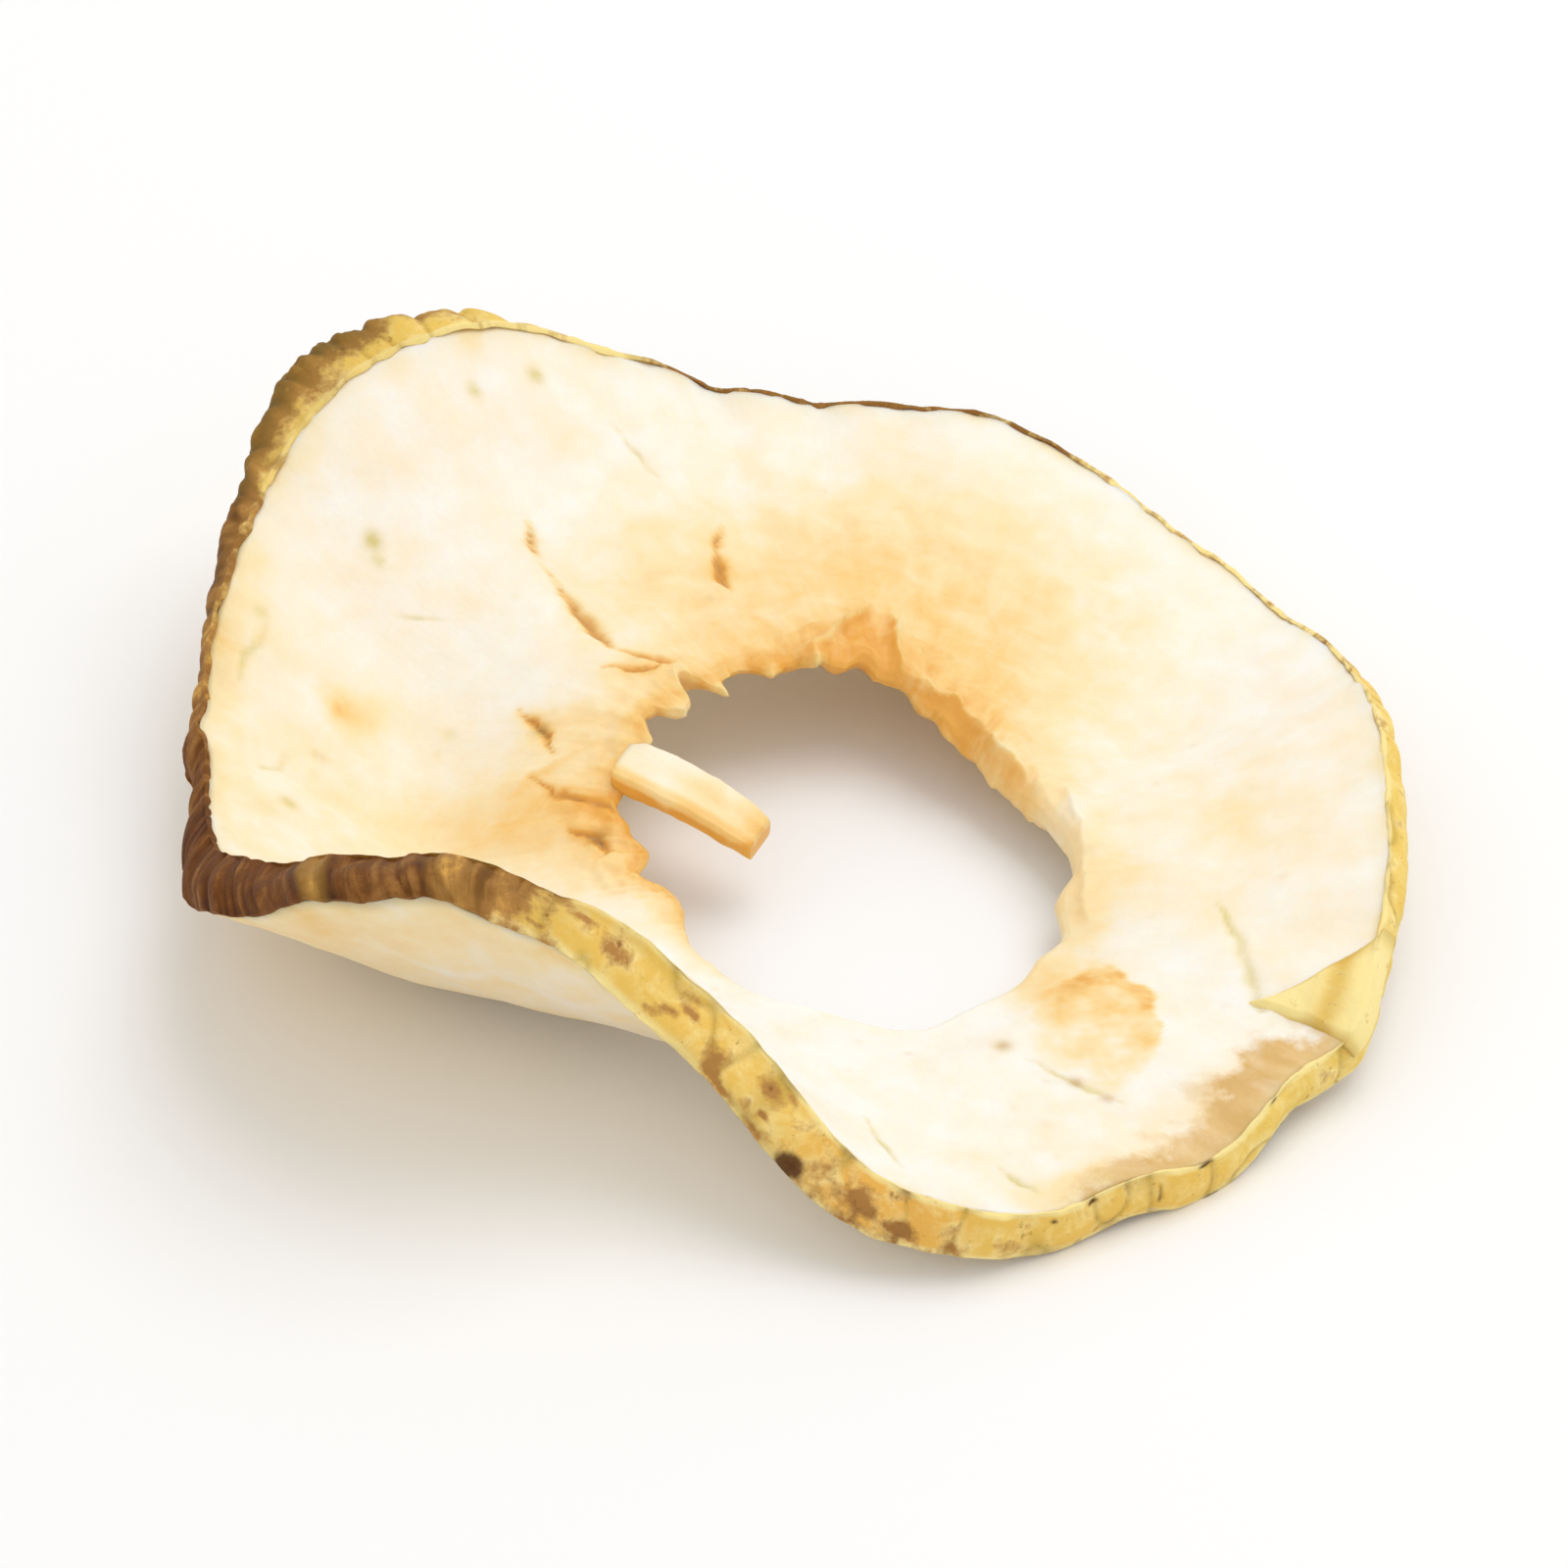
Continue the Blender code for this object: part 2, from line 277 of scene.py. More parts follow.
# The stain with a sharp outer edge on the right lobe
TIDE_MARK = {"bearing": -49.0, "across": 0.36, "radius": 4.4 * MM, "strength": 0.70}
TIDE_MARK_SHAPE = (1.25, 0.84)  # how much narrower it is along x and along y
TIDE_MARK_EDGE = (0.90, 0.44)  # the direction of its sharp edge
# Beige flesh along the skin, as the stains
BEIGE_PLACES = {
    "right": (-45.5, 8, 0.99, 0.125, 1.5),
    "front right": (-60, 5, 1.0, 0.07, 0.75),
}
# Specks: (bearing, across, radius, how green, how brown)
SPECKS = {
    "green, left": (145.5, 0.77, 0.33 * MM, 1.0, 0.15),
    "green, left, its end": (146.5, 0.74, 0.22 * MM, 0.8, 0.0),
    "green, by the skin": (162.5, 0.91, 0.28 * MM, 0.7, 0.0),
    "green, top": (126.0, 0.88, 0.27 * MM, 0.7, 0.0),
    "green, top right": (119.0, 0.89, 0.30 * MM, 0.7, 0.05),
    "green, low": (-174.0, 0.82, 0.34 * MM, 0.7, 0.05),
    "golden, low": (173.5, 0.74, 0.27 * MM, 0.5, 0.15),
    "green, corner": (-171.0, 0.86, 0.6 * MM, 0.3, 0.0),
    "olive, low": (-166.0, 0.42, 0.36 * MM, 0.7, 0.20),
    "brown, low": (-176.0, 0.08, 0.36 * MM, 0.30, 0.60),
    "brown, slit": (156.0, 0.22, 0.26 * MM, 0.50, 0.50),
    "stain, left": (-61.5, 0.27, 0.34 * MM, 0.45, 0.45),
    "stain, low": (-57.5, 0.52, 0.26 * MM, 0.20, 0.50),
    "stain, end": (-56.0, 0.62, 0.24 * MM, 0.20, 0.45),
}
SCATTERED_SPECKS = 60
GREEN_SHARE = 0.7  # how many of them are green and not brown
SPECK_SEED = 5

# Stretches of the skin: (from, to, softness, in degrees; how brown; how olive)
SKIN_STRETCHES = {
    "left corner": (-180, -138.8, 3, 1.0, 0.0),
    "streak": (-138.8, -135.9, 1.0, 0.95, 0.60),
    "front left": (-135.9, -125.4, 1.5, 1.0, 0.05),
    "light brown": (-125.4, -120.7, 1.0, 0.97, 0.32),
    "its end": (-120.7, -116.6, 2, 0.93, 0.22),
    "turn": (-116.6, -113.0, 2, 0.46, 0.55),
    "front": (-113.5, -88, 4, 0.08, 0.60),
    "front scabs": (-88, -76, 4, 0.22, 0.0),
    "front right": (-76, -52, 6, 0.08, 0.60),
    "right": (-52, 10, 6, 0.05, 0.85),
    "right back": (10, 58, 8, 0.24, 0.55),
    "back pinch": (58, 106, 6, 0.66, 0.25),
    "back": (106, 131, 5, 0.15, 0.80),
    "back left": (131, 152, 4, 0.50, 0.70),
    "left": (152, 170, 5, 0.70, 0.25),
    "left edge": (170, 180, 4, 0.86, 0.0),
}
# Patches of the skin's height: (bearing, spread, how far down from 0 to 1, its spread, how much)
# Where the skin is browner or cleaner; low on the left edge, partly as painted shade
SKIN_SHADES = {
    "left edge, top": (170, 10, 0.0, 0.12, -0.22),
    # partly browning, partly painted shade on the lower half of the left edge
    "left edge, low, painted shade": (170, 14, 0.85, 0.30, 0.35),
    "back left, top": (141, 9, 0.06, 0.15, -0.42),
    "back left, low": (142, 13, 0.75, 0.38, 0.42),
    "back, low": (118, 10, 1.0, 0.30, 0.34),
    "front left, low": (-116.5, 2, 1.0, 0.25, -0.50),
    "front, low": (-84, 11, 0.95, 0.22, 0.16),
}
# Where the browned skin is lighter or darker, in the same way
BARK_SHADES = {
    "left corner": (-160.0, 10.0, 0.5, 0.8, -0.08),
    "before the streak": (-139.3, 0.5, 0.5, 0.8, -0.26),
    "streak": (-137.3, 0.9, 0.5, 0.8, 0.32),
    "after the streak": (-135.5, 0.4, 0.5, 0.8, -0.28),
    "front left": (-130.5, 3.0, 0.5, 0.8, 0.08),
    "dark line": (-125.7, 0.40, 0.5, 0.9, -0.36),
    "light brown": (-123.1, 1.8, 0.45, 0.8, 0.36),
    "second dark line": (-120.5, 0.30, 0.5, 0.9, -0.30),
    "its end": (-118.3, 1.5, 0.4, 0.6, 0.36),
    "left edge": (174.0, 8.0, 0.3, 0.4, 0.36),
    "back left": (146.0, 10.0, 0.2, 0.25, 0.15),
    "back left, low": (146.0, 10.0, 0.8, 0.30, -0.20),
}
# Where the fresh skin is dull and olive, in the same way
DULL_PLACES = {
    "back left": (146, 10, 0.62, 0.28, 0.80),
    "back": (122, 14, 0.80, 0.40, 0.50),
    "left edge": (172, 12, 0.6, 0.4, 0.5),
    "turn": (-114.0, 2.5, 0.6, 0.4, 0.55),
    "front, top": (-106, 8, 0.10, 0.10, 0.42),
    "front, low": (-92, 5, 0.98, 0.10, 0.55),
    "front right": (-66, 12, 0.16, 0.07, 0.06),
}
RIB_WIDTH = 1.7 * MM
RIB_REACH = 0.20  # how much slower a rib changes on its way down the skin than round it
# How many degrees the ribs run to the front on their way down: (bearing, spread, degrees)
RIB_LEAN = {"front left": (-146, 24, 4.5)}
PUCKER_LENGTH = 2.6 * MM
# Where the skin dried in knobs: (bearing, spread, height)
SKIN_KNOBS = {
    "back left": (145, 9, 0.42 * MM),
    "back": (124, 9, 0.16 * MM),
    "left edge": (174, 3, 0.24 * MM),
    "front scabs": (-86, 4, 0.06 * MM),
}
# Where the tops of the knobs are paler, as a painted highlight, and where the lip isn't
# pale: (bearing, spread, share)
PALE_KNOBS = {"back left": (146, 12, 0.6)}
DULL_LIPS = {"left edge": (173, 9, 1.0), "back left": (146, 11, 0.6)}
# Scabs, as patches of the skin's height
SCABS = {
    "thin line": (-114.0, 1.0, 0.78, 0.06, 0.9),
    "thin line, its end": (-110.8, 1.6, 0.30, 0.07, 0.7),
    "first": (-107.8, 1.5, 0.52, 0.16, 0.75),
    "stroke": (-102.0, 0.8, 0.80, 0.08, 0.9),
    "stroke, its middle": (-100.8, 0.8, 0.60, 0.08, 1.0),
    "stroke, its end": (-99.6, 0.8, 0.40, 0.08, 1.0),
    "faint": (-100.5, 1.0, 0.20, 0.08, 0.6),
    "large": (-96.0, 1.0, 0.60, 0.14, 0.90),
    "large, its foot": (-95.2, 0.7, 0.86, 0.10, 0.9),
    "low": (-93.5, 1.0, 0.95, 0.07, 0.8),
    "upper": (-91.8, 1.0, 0.30, 0.13, 1.1),
    "dot": (-90.8, 0.4, 0.68, 0.05, 1.0),
    "second dot": (-90.5, 0.4, 0.12, 0.05, 0.8),
    "low dot": (-90.6, 0.6, 0.96, 0.06, 0.7),
    "front": (-83.5, 1.6, 0.55, 0.22, 0.9),
    "beside it": (-79.5, 1.3, 0.72, 0.18, 0.8),
    "front right": (-72.0, 1.4, 0.60, 0.14, 0.6),
    "far right": (-63.0, 1.6, 0.80, 0.14, 0.5),
}
# Dark spots on the skin, in the same way
SKIN_SPOTS = {
    "oval": (-87.9, 0.66, 0.86, 0.18, 1.25),
    "front": (-68.2, 0.35, 0.15, 0.05, 1.0),
    "front right": (-64.2, 0.45, 0.08, 0.04, 0.9),
    "crack": (-58.2, 0.22, 0.45, 0.26, 0.8),
    "under the lip": (-53.8, 0.80, 0.03, 0.035, 1.1),
    "right": (-45.0, 0.55, 0.03, 0.035, 0.9),
}


def bell(away, spread):
    """1 in the middle, fading evenly on both sides of it."""
    return np.exp(-0.5 * (away / spread) ** 2)


def unit(values):
    """The values, held between 0 and 1."""
    return np.clip(values, 0, 1)


def turned(around, bearing):
    """Degrees from a bearing, between -180 and 180."""
    return (np.degrees(around) - bearing + 180.0) % 360.0 - 180.0


def total(around, waves):
    """The sum of soft waves, each at a bearing."""
    return sum(
        size * bell(turned(around, bearing), spread) for bearing, spread, size in waves.values()
    )


def patches(around, across, places):
    """The sum of soft patches, each at a bearing and an across."""
    height = np.zeros_like(around)
    for bearing, spread, place, its_spread, size in places.values():
        height += size * bell(turned(around, bearing), spread) * bell(across - place, its_spread)
    return height


def ripple(around, count, seed):
    """An uneven ripple round the slice, about count waves long, between -1 and 1."""
    drift = 2.1 * np.sin(around * 2 + seed) + 1.3 * np.sin(around * 3 + 2 * seed)
    strength = 0.6 + 0.4 * np.sin(around * 5 + 3 * seed)
    return strength * np.sin(count * around + drift)


def rough(places, length, seed):
    """Uneven bumps at places in space, between -1 and 1, about as long as length."""
    scaled = np.asarray(places) / length + (0.0, 0.0, seed)
    return np.array([noise.noise(place) for place in scaled.tolist()])


def in_space(plan):
    """Plan places as places in space."""
    return np.concatenate([plan, np.zeros_like(plan[..., :1])], axis=-1)


def middle(around, across):
    """The sheet half way through the slice."""
    inside = unit(across)
    rim_radius = SLICE_RADIUS + total(around, RIM_BULGES)
    hole_radius = HOLE_RADIUS + total(around, HOLE_BULGES) + BITE_DEPTH * ripple(around, BITES, 1.0)
    towards = np.stack([np.cos(around), np.sin(around)], axis=-1)
    rim = towards * rim_radius[..., None]
    hole = towards * hole_radius[..., None] + np.array(HOLE_CENTRE)
    plan = hole + (rim - hole) * across[..., None]
    height = total(around, HOLE_LIFTS) * (1 - inside)
    height = height + total(around, RIM_LIFTS) * np.clip(across, 0, None) ** CURL_POWER
    height = height - total(around, BELLIES) * np.sin(math.pi * inside) ** 2
    height = height + PUCKER_HEIGHT * ripple(around, PUCKERS, 4.0) * inside**3
    height = height + BUMP_HEIGHT * rough(in_space(plan), BUMP_LENGTH, 3.0)
    return np.concatenate([plan, height[..., None]], axis=-1)


def upward(around, across):
    """The direction square to the sheet, on its upper side."""
    step = 1e-3
    along_ring = middle(around + step, across) - middle(around - step, across)
    outward = middle(around, across + step) - middle(around, across - step)
    up = np.cross(outward, along_ring)
    return up / np.linalg.norm(up, axis=-1, keepdims=True)


def half_thickness(around, across):
    """The flesh thins to the hole, and the skin stands a little above it."""
    thicknesses = [HOLE_EDGE_THICKNESS, FLESH_THICKNESS, FLESH_THICKNESS, SKIN_HEIGHT]
    flesh = np.interp(across, [0.0, 0.25, 0.8, 1.0], thicknesses)
    near_skin = unit((across - 0.7) / 0.3)
    return (flesh + total(around, SKIN_HEIGHTS) * near_skin) / 2


def rim_out(around, through):
    """How far the rim stands out from the sheet's edge: it bulges, and widens downwards."""
    down = unit((1 - through) / 2)
    slope = SKIN_SLOPE + total(around, SKIN_SLOPES)
    return SKIN_BULGE * np.sin(math.pi * down) + slope * down


def on_slice(around, across, rise):
    """Places at a bearing and an across, and a rise above the middle of the sheet."""
    return middle(around, across) + upward(around, across) * rise[:, None]


SAMPLES_ROUND = 720
SAMPLE_ROWS = 9


def samples(rows):
    """Bearings all round, each with all of the rows."""
    around, row = np.meshgrid(np.linspace(-math.pi, math.pi, SAMPLES_ROUND), rows, indexing="ij")
    return around.ravel(), row.ravel()


def shift_to_solid():
    """From the form's own frame to the place where the packed solid lies."""
    around, through = samples(np.linspace(1, -1, SAMPLE_ROWS))
    across = 1 + rim_out(around, through) / WIDTH
    rim = on_slice(around, across, half_thickness(around, across) * through)
    around, across = samples(np.linspace(0.05, 0.95, SAMPLE_ROWS))
    lower = on_slice(around, across, -half_thickness(around, across))
    low, high = (np.array(corner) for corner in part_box("apple_slice"))
    shift = (low + high) / 2 - (rim.min(axis=0) + rim.max(axis=0)) / 2
    shift[2] = low[2] - FLAT_SPOT_DEPTH - min(rim[:, 2].min(), lower[:, 2].min())
    return shift


SHIFT = shift_to_solid()
FLOOR_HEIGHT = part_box("apple_slice")[0][2]


def settled(places):
    """Carries places in the form's frame to the solid's, with the lowest pressed flat."""
    places = places + SHIFT
    places[:, 2] = np.clip(places[:, 2], FLOOR_HEIGHT, None)
    return places


def spot(bearing, across):
    """The plan place of a bearing, in degrees, and an across."""
    return middle(np.radians([float(bearing)]), np.array([float(across)]))[0, :2]


def to_line(plan, start, end):
    """How far each plan place is from a line, and how far along it, from 0 to 1."""
    start, end = spot(*start), spot(*end)
    run = end - start
    along = unit(((plan - start) @ run) / (run @ run))
    return np.linalg.norm(plan - start - along[:, None] * run, axis=1), along


RING_CUTS = 3


def spun(section, steps):
    """A fine ring: spun from a closed outline of (across, through) points, and then cut finer."""
    mesh = bmesh.new()
    corners = [mesh.verts.new((1.0 + across, 0.0, through)) for across, through in section]
    outline = [mesh.edges.new(pair) for pair in zip(corners, corners[1:] + corners[:1])]
    ring = {"cent": (0, 0, 0), "axis": (0, 0, 1), "angle": math.tau, "steps": steps}
    bmesh.ops.spin(mesh, geom=corners + outline, use_merge=True, **ring)
    bmesh.ops.subdivide_edges(mesh, edges=list(mesh.edges), cuts=RING_CUTS, use_grid_fill=True)
    return mesh


def as_mesh(mesh, name, places, masks):
    """Makes the object of a bmesh whose vertices move to places and carry named values."""
    data = bpy.data.meshes.new(name)
    mesh.to_mesh(data)
    mesh.free()
    data.vertices.foreach_set("co", np.asarray(places, np.float32).ravel())
    for mask, values in masks.items():
        values = np.asarray(values, np.float32)
        kind, field = ("FLOAT_VECTOR", "vector") if values.ndim == 2 else ("FLOAT", "value")
        data.attributes.new(mask, kind, "POINT").data.foreach_set(field, values.ravel())
    turn_outward(data)
    return placed(name, data)


def placed(name, data):
    """A new object of this data, in the scene."""
    made = bpy.data.objects.new(name, data)
    bpy.context.scene.collection.objects.link(made)
    return made


def turn_outward(data):
    """Makes every face of a closed mesh point out."""
    mesh = bmesh.new()
    mesh.from_mesh(data)
    bmesh.ops.recalc_face_normals(mesh, faces=mesh.faces)
    mesh.to_mesh(data)
    mesh.free()
    data.shade_smooth()


def flat_places(mesh):
    """The around, across and through of a spun ring's vertices."""
    x, y, through = np.array([vert.co for vert in mesh.verts]).T
    return np.arctan2(y, x), np.hypot(x, y) - 1, through


def ring_places(around, across, radial, round_it=1.0):
    """Places whose patterns run with the ring, stretched along and round it by these factors."""
    radius = MIDDLE_RADIUS / round_it
    height = across * WIDTH / radial
    return np.stack([np.cos(around) * radius, np.sin(around) * radius, height], axis=1)


HOLE_ROUNDING = 0.028  # how far the rounded edge of the hole reaches across the flesh


def face_row(share, through):
    """A point of a cut face, where the rows stand closer together by the hole."""
    return HOLE_ROUNDING + (1 - HOLE_ROUNDING) * share**1.25, through


def flesh_section(settings):
    """(across, through) round the flesh: the top, beside the skin, below, and up the hole."""
    top = [face_row(share, 1.0) for share in np.linspace(0, 1, settings.top_rows)]
    side = [(1.0, 0.4), (1.0, -0.4)]
    bottom = [face_row(share, -1.0) for share in np.linspace(1, 0, settings.bottom_rows)]
    turns = np.radians((-50, 0, 50))
    hole = [(HOLE_ROUNDING * (1 - math.cos(angle)), math.sin(angle)) for angle in turns]
    return top + side + bottom + hole


TATTER_REACH = (0.50 * MM, 0.20 * MM)  # of its large and its small points
TATTER_CURL = 0.45 * MM
TOOTH_ROUNDING = 0.85
TATTER_WIDTH = 0.045  # how far across the flesh the ragged edge goes


def tatter(around, across, through):
    """How ragged the hole's edge is: (how far it reaches into the hole, how far it curls up)."""
    share = 0.10 + total(around, TATTERS)
    hole = ring_places(around, through * 0.012, 1.0, MIDDLE_RADIUS / HOLE_RADIUS)
    large, small = TATTER_REACH
    reach = share * (large * rough(hole, 2.3 * MM, 7.0) + small * rough(hole, 0.8 * MM, 2.0))
    curl = share * TATTER_CURL * rough(hole, 1.7 * MM, 11.0)
    for bearing, half_width, length, lift in TEETH.values():
        tooth = unit(1 - np.abs(turned(around, bearing)) / half_width) ** TOOTH_ROUNDING
        reach += length * tooth * (1 + 0.5 * rough(hole, 0.7 * MM, 5.0))
        curl += lift * tooth
    return reach * bell(across, TATTER_WIDTH), curl * bell(across, 0.04)


def pressed(plan, paths, depth):
    """How deep the slits or creases are at each place, and how much of one there is."""
    pit = np.zeros(len(plan))
    share = np.zeros(len(plan))
    for path in paths.values():
        away = np.full(len(plan), 1.0)
        width = np.full(len(plan), 0.1 * MM)
        for first, second in zip(path, path[1:]):
            here, along = to_line(plan, first[:2], second[:2])
            width = np.where(here < away, first[2] + (second[2] - first[2]) * along, width)
            away = np.minimum(away, here)
        near = bell(away, width)
        pit = np.maximum(pit, depth * width * near)
        share = np.maximum(share, near * unit(width / (0.12 * MM)))
    return pit, share


def folds(plan):
    """How high the folds stand at each place, and their steep sides' amber and painted shade."""
    height = np.zeros(len(plan))
    steep_stain_and_shade = np.zeros(len(plan))
    for start, end, half_width, size, amber in FOLDS.values():
        away, along = to_line(plan, start, end)
        first, last = spot(*start), spot(*end)
        across_it = np.array([first[1] - last[1], last[0] - first[0]])
        inner = ((plan - first) @ across_it) * ((np.array(HOLE_CENTRE) - first) @ across_it) > 0
        taper = np.sin(math.pi * unit(0.04 + 0.92 * along)) ** 0.6
        width = np.where(inner, 0.45 * half_width, half_width)
        height = np.maximum(height, size * np.exp(-away / width) * taper)
        # the steep side towards the hole turns amber: partly the flesh's own, partly painted shade
        stained = amber * bell(away - 0.5 * half_width, 0.5 * half_width) * inner * taper
        steep_stain_and_shade = np.maximum(steep_stain_and_shade, stained)
    return height, steep_stain_and_shade


def face_wrinkles(around, across, plan, settings, seed):
    """The height of a cut face's lumps, fibres and puckers."""
    flat = in_space(plan)
    near_core = bell(across, 0.16) * (0.25 + total(around, TATTERS))
    near_skin = unit((across - 0.80) / 0.20) ** 2
    fibres = ring_places(around, across, 3.5)
    height = settings.lump_height * rough(flat, 3.8 * MM, seed)
    height += 0.35 * settings.lump_height * rough(flat, 1.5 * MM, seed + 3)
    height += settings.fibre_height * (0.15 + near_core) * rough(fibres, 1.3 * MM, seed)
    height += 0.5 * settings.fibre_height * near_core * rough(fibres, 0.5 * MM, seed + 2)
    puckers = np.abs(rough(fibres, 1.9 * MM, seed + 5)) * 2 - 0.6
    height += settings.pucker_depth * near_skin * puckers
    crumpled = patches(around, across, CRUMPLED_PLACES)
    creases = ring_places(around, across, 1.0, 5.0)
    height += settings.crease_depth * (0.10 + crumpled) * rough(creases, 0.9 * MM, seed + 8)
    lumpy = 0.5 + 1.2 * rough(flat, 1.1 * MM, seed + 4) + 0.6 * rough(flat, 0.5 * MM, seed + 9)
    return height + patches(around, across, TISSUE) * lumpy


def scattered_specks():
    """Faint specks over the face, by a seeded draw: (bearing, across, radius, green, brown)."""
    draw = np.random.default_rng(SPECK_SEED)
    specks = {}
    for index in range(SCATTERED_SPECKS):
        if draw.random() < GREEN_SHARE:
            green, brown = draw.uniform(0.05, 0.28), 0.0
        else:
            green, brown = 0.1, draw.uniform(0.05, 0.18)
        size = draw.uniform(0.10, 0.26) * MM
        specks[index] = (draw.uniform(-180, 180), draw.uniform(0.12, 0.96), size, green, brown)
    return specks


def speck_masks(plan, specks):
    """How green and how brown the specks make each place."""
    green = np.zeros(len(plan))
    brown = np.zeros(len(plan))
    for bearing, across, radius, how_green, how_brown in specks.values():
        near = bell(np.linalg.norm(plan - spot(bearing, across), axis=1), radius)
        green = np.maximum(green, how_green * near)
        brown = np.maximum(brown, how_brown * near)
    return green, brown


def tide_mark(plan):
    """A mottled stain that grows towards a sharp outer edge on the right, and fades on the left."""
    away = plan - spot(TIDE_MARK["bearing"], TIDE_MARK["across"])
    far = np.linalg.norm(away * TIDE_MARK_SHAPE, axis=1) / TIDE_MARK["radius"]
    flat = in_space(plan)
    far = far + 0.20 * rough(flat, 2.2 * MM, 21.0) + 0.05 * rough(flat, 0.6 * MM, 22.0)
    rightward = unit(0.5 + 0.7 * (away @ np.array(TIDE_MARK_EDGE)) / TIDE_MARK["radius"])
    inside = unit((1 - far) / (0.06 + 0.50 * (1 - rightward)))
    mottle = 0.75 + 0.9 * rough(flat, 1.5 * MM, 23.0) + 0.4 * rough(flat, 0.5 * MM, 24.0)
    edge = 0.50 + 0.50 * unit(far) ** 3
    strength = TIDE_MARK["strength"] * np.clip(mottle, 0, 1.4)
    return strength * inside * edge * (0.55 + 0.45 * rightward)


# The flesh, beyond what its tables say
WAVER = 0.30 * MM  # how far slits, creases and folds waver
TORN_THINNING = 0.55  # how much of the thickness is lost at the torn edge of the hole
HALO_WIDTH = 2.6  # how many times wider than a slit the stain round it is
HALO_AMBER = 0.20
SLIT_AMBER = 0.50
SLIT_BROWN_AND_SHADE = 0.55
CREASE_TINT_AND_SHADE = 0.62
HOLE_EDGE_AMBER = 0.30
# painted highlight: the crests of the folds are made paler
FOLD_CREST_PAINTED_HIGHLIGHT = 0.14
# painted shade: the lower face is made warmer and darker all over
LOWER_FACE_PAINTED_SHADE = 0.16
SKIN_SIDE_AMBER = 0.22


def flesh(settings):
    """The flesh: a washer whose points are carried to the curled slice, wrinkled and torn."""
    mesh = spun(flesh_section(settings), settings.steps_around)
    around, share, through = flat_places(mesh)
    inset = settings.skin_inset + settings.skin_room * (1 - through**2)
    across = share * (1 + (rim_out(around, through) - inset) / WIDTH)
    reach, curl = tatter(around, across, through)
    across = across - reach / WIDTH
    plan = middle(around, across)[:, :2]
    top = unit(through)
    flat = in_space(plan)
    long_waver = np.stack([rough(flat, 1.4 * MM, seed) for seed in (31, 33)], axis=1)
    short_waver = np.stack([rough(flat, 0.5 * MM, seed) for seed in (36, 38)], axis=1)
    shaken = plan + WAVER * (long_waver + 0.4 * short_waver)
    slit_depth, in_slit = pressed(shaken, SLITS, SLIT_DEPTH)
    crease_depth, in_crease = pressed(shaken, CREASES, CREASE_DEPTH)
    fold_height, steep_stain_and_shade = folds(shaken)
    thin = 1 - TORN_THINNING * unit(total(around, TATTERS)) * bell(across, 0.05)
    rise = half_thickness(around, across) * through * thin + curl
    rise += top * (patches(around, across, FACE_RELIEF) - slit_depth - crease_depth + fold_height)
    wrinkles = face_wrinkles(around, across, plan, settings, 0.0)
    below = face_wrinkles(around, across, plan, settings, 40.0)
    rise += top * wrinkles - unit(-through) * below

    green, brown = speck_masks(plan, {**SPECKS, **scattered_specks()})
    edge = bell(across, 0.020) * unit(total(around, TATTERS))
    halo = pressed(shaken, widened(SLITS, HALO_WIDTH), 0.0)[1]
    amber = patches(around, across, STAINS) + HOLE_EDGE_AMBER * edge
    amber += top * (HALO_AMBER * halo + SLIT_AMBER * in_slit + tide_mark(plan) + steep_stain_and_shade)
    # painted highlight on the crests of the folds
    amber -= top * FOLD_CREST_PAINTED_HIGHLIGHT * unit(fold_height / (0.6 * MM)) ** 2
    # painted shade on the lower face
    amber += LOWER_FACE_PAINTED_SHADE * unit(-through)
    by_skin = bell(across - 1.0, 0.03) * unit(0.4 + 1.6 * rough(flat, 2.4 * MM, 35.0))
    amber += SKIN_SIDE_AMBER * by_skin
    masks = {
        "amber": unit(amber),
        # creases tinted olive: partly their own tint, partly painted shade
        "green": np.maximum(green, CREASE_TINT_AND_SHADE * in_crease) * top,
        # slit bottoms painted brown: partly browning, partly painted shade in their depth
        "brown": unit(brown + SLIT_BROWN_AND_SHADE * in_slit**3) * top,
        "beige": patches(around, across, BEIGE_PLACES) * top,
        "grain": ring_places(around, across, 4.0),
    }
    return as_mesh(mesh, "flesh", settled(on_slice(around, across, rise)), masks)


def stretch(around, start, end, soft):
    """1 between two bearings, fading to 0 over soft degrees past each."""
    half = (end - start) / 2
    return unit((half - np.abs(turned(around, (start + end) / 2))) / soft + 0.5)


def skin_tones(around):
    """How brown and how olive the skin is at each bearing."""
    parts = list(SKIN_STRETCHES.values())
    shares = np.array([stretch(around, *part[:3]) for part in parts])
    shares /= np.maximum(shares.sum(axis=0), 1e-6)
    return tuple(sum(share * part[which] for share, part in zip(shares, parts)) for which in (3, 4))


def skin_section(settings):
    """(across, through) round the skin: over its lip, down its side and up its inner wall."""
    lip, wall = -settings.lip_width / WIDTH, -settings.wall / WIDTH
    over = [(lip, 0.92), (lip, 1.02), (0.5 * lip, 1.07)]
    side = [(0.0, through) for through in np.linspace(1.04, -1.0, settings.side_rows)]
    under = [(0.5 * lip, -1.05), (lip, -1.0)]
    inner = [(wall, -0.6), (wall, 0.6)]
    return over + side + under + inner


# The skin, beyond what its tables say
LIP_UNEVENNESS = 0.55
RIB_WAVER = 0.30 * MM
FINE_RIB_WIDTH = 0.42 * RIB_WIDTH
FINE_RIBS = 0.25  # their share of the relief
KNOB_LENGTH = 1.7 * MM
SKIN_LUMPS = 0.07 * MM
SCALLOPS = 0.07  # how far they move the edges of the skin, as a share of half its height
SPOT_EDGE = (0.42, 0.40)  # where a dark spot starts, and how softly


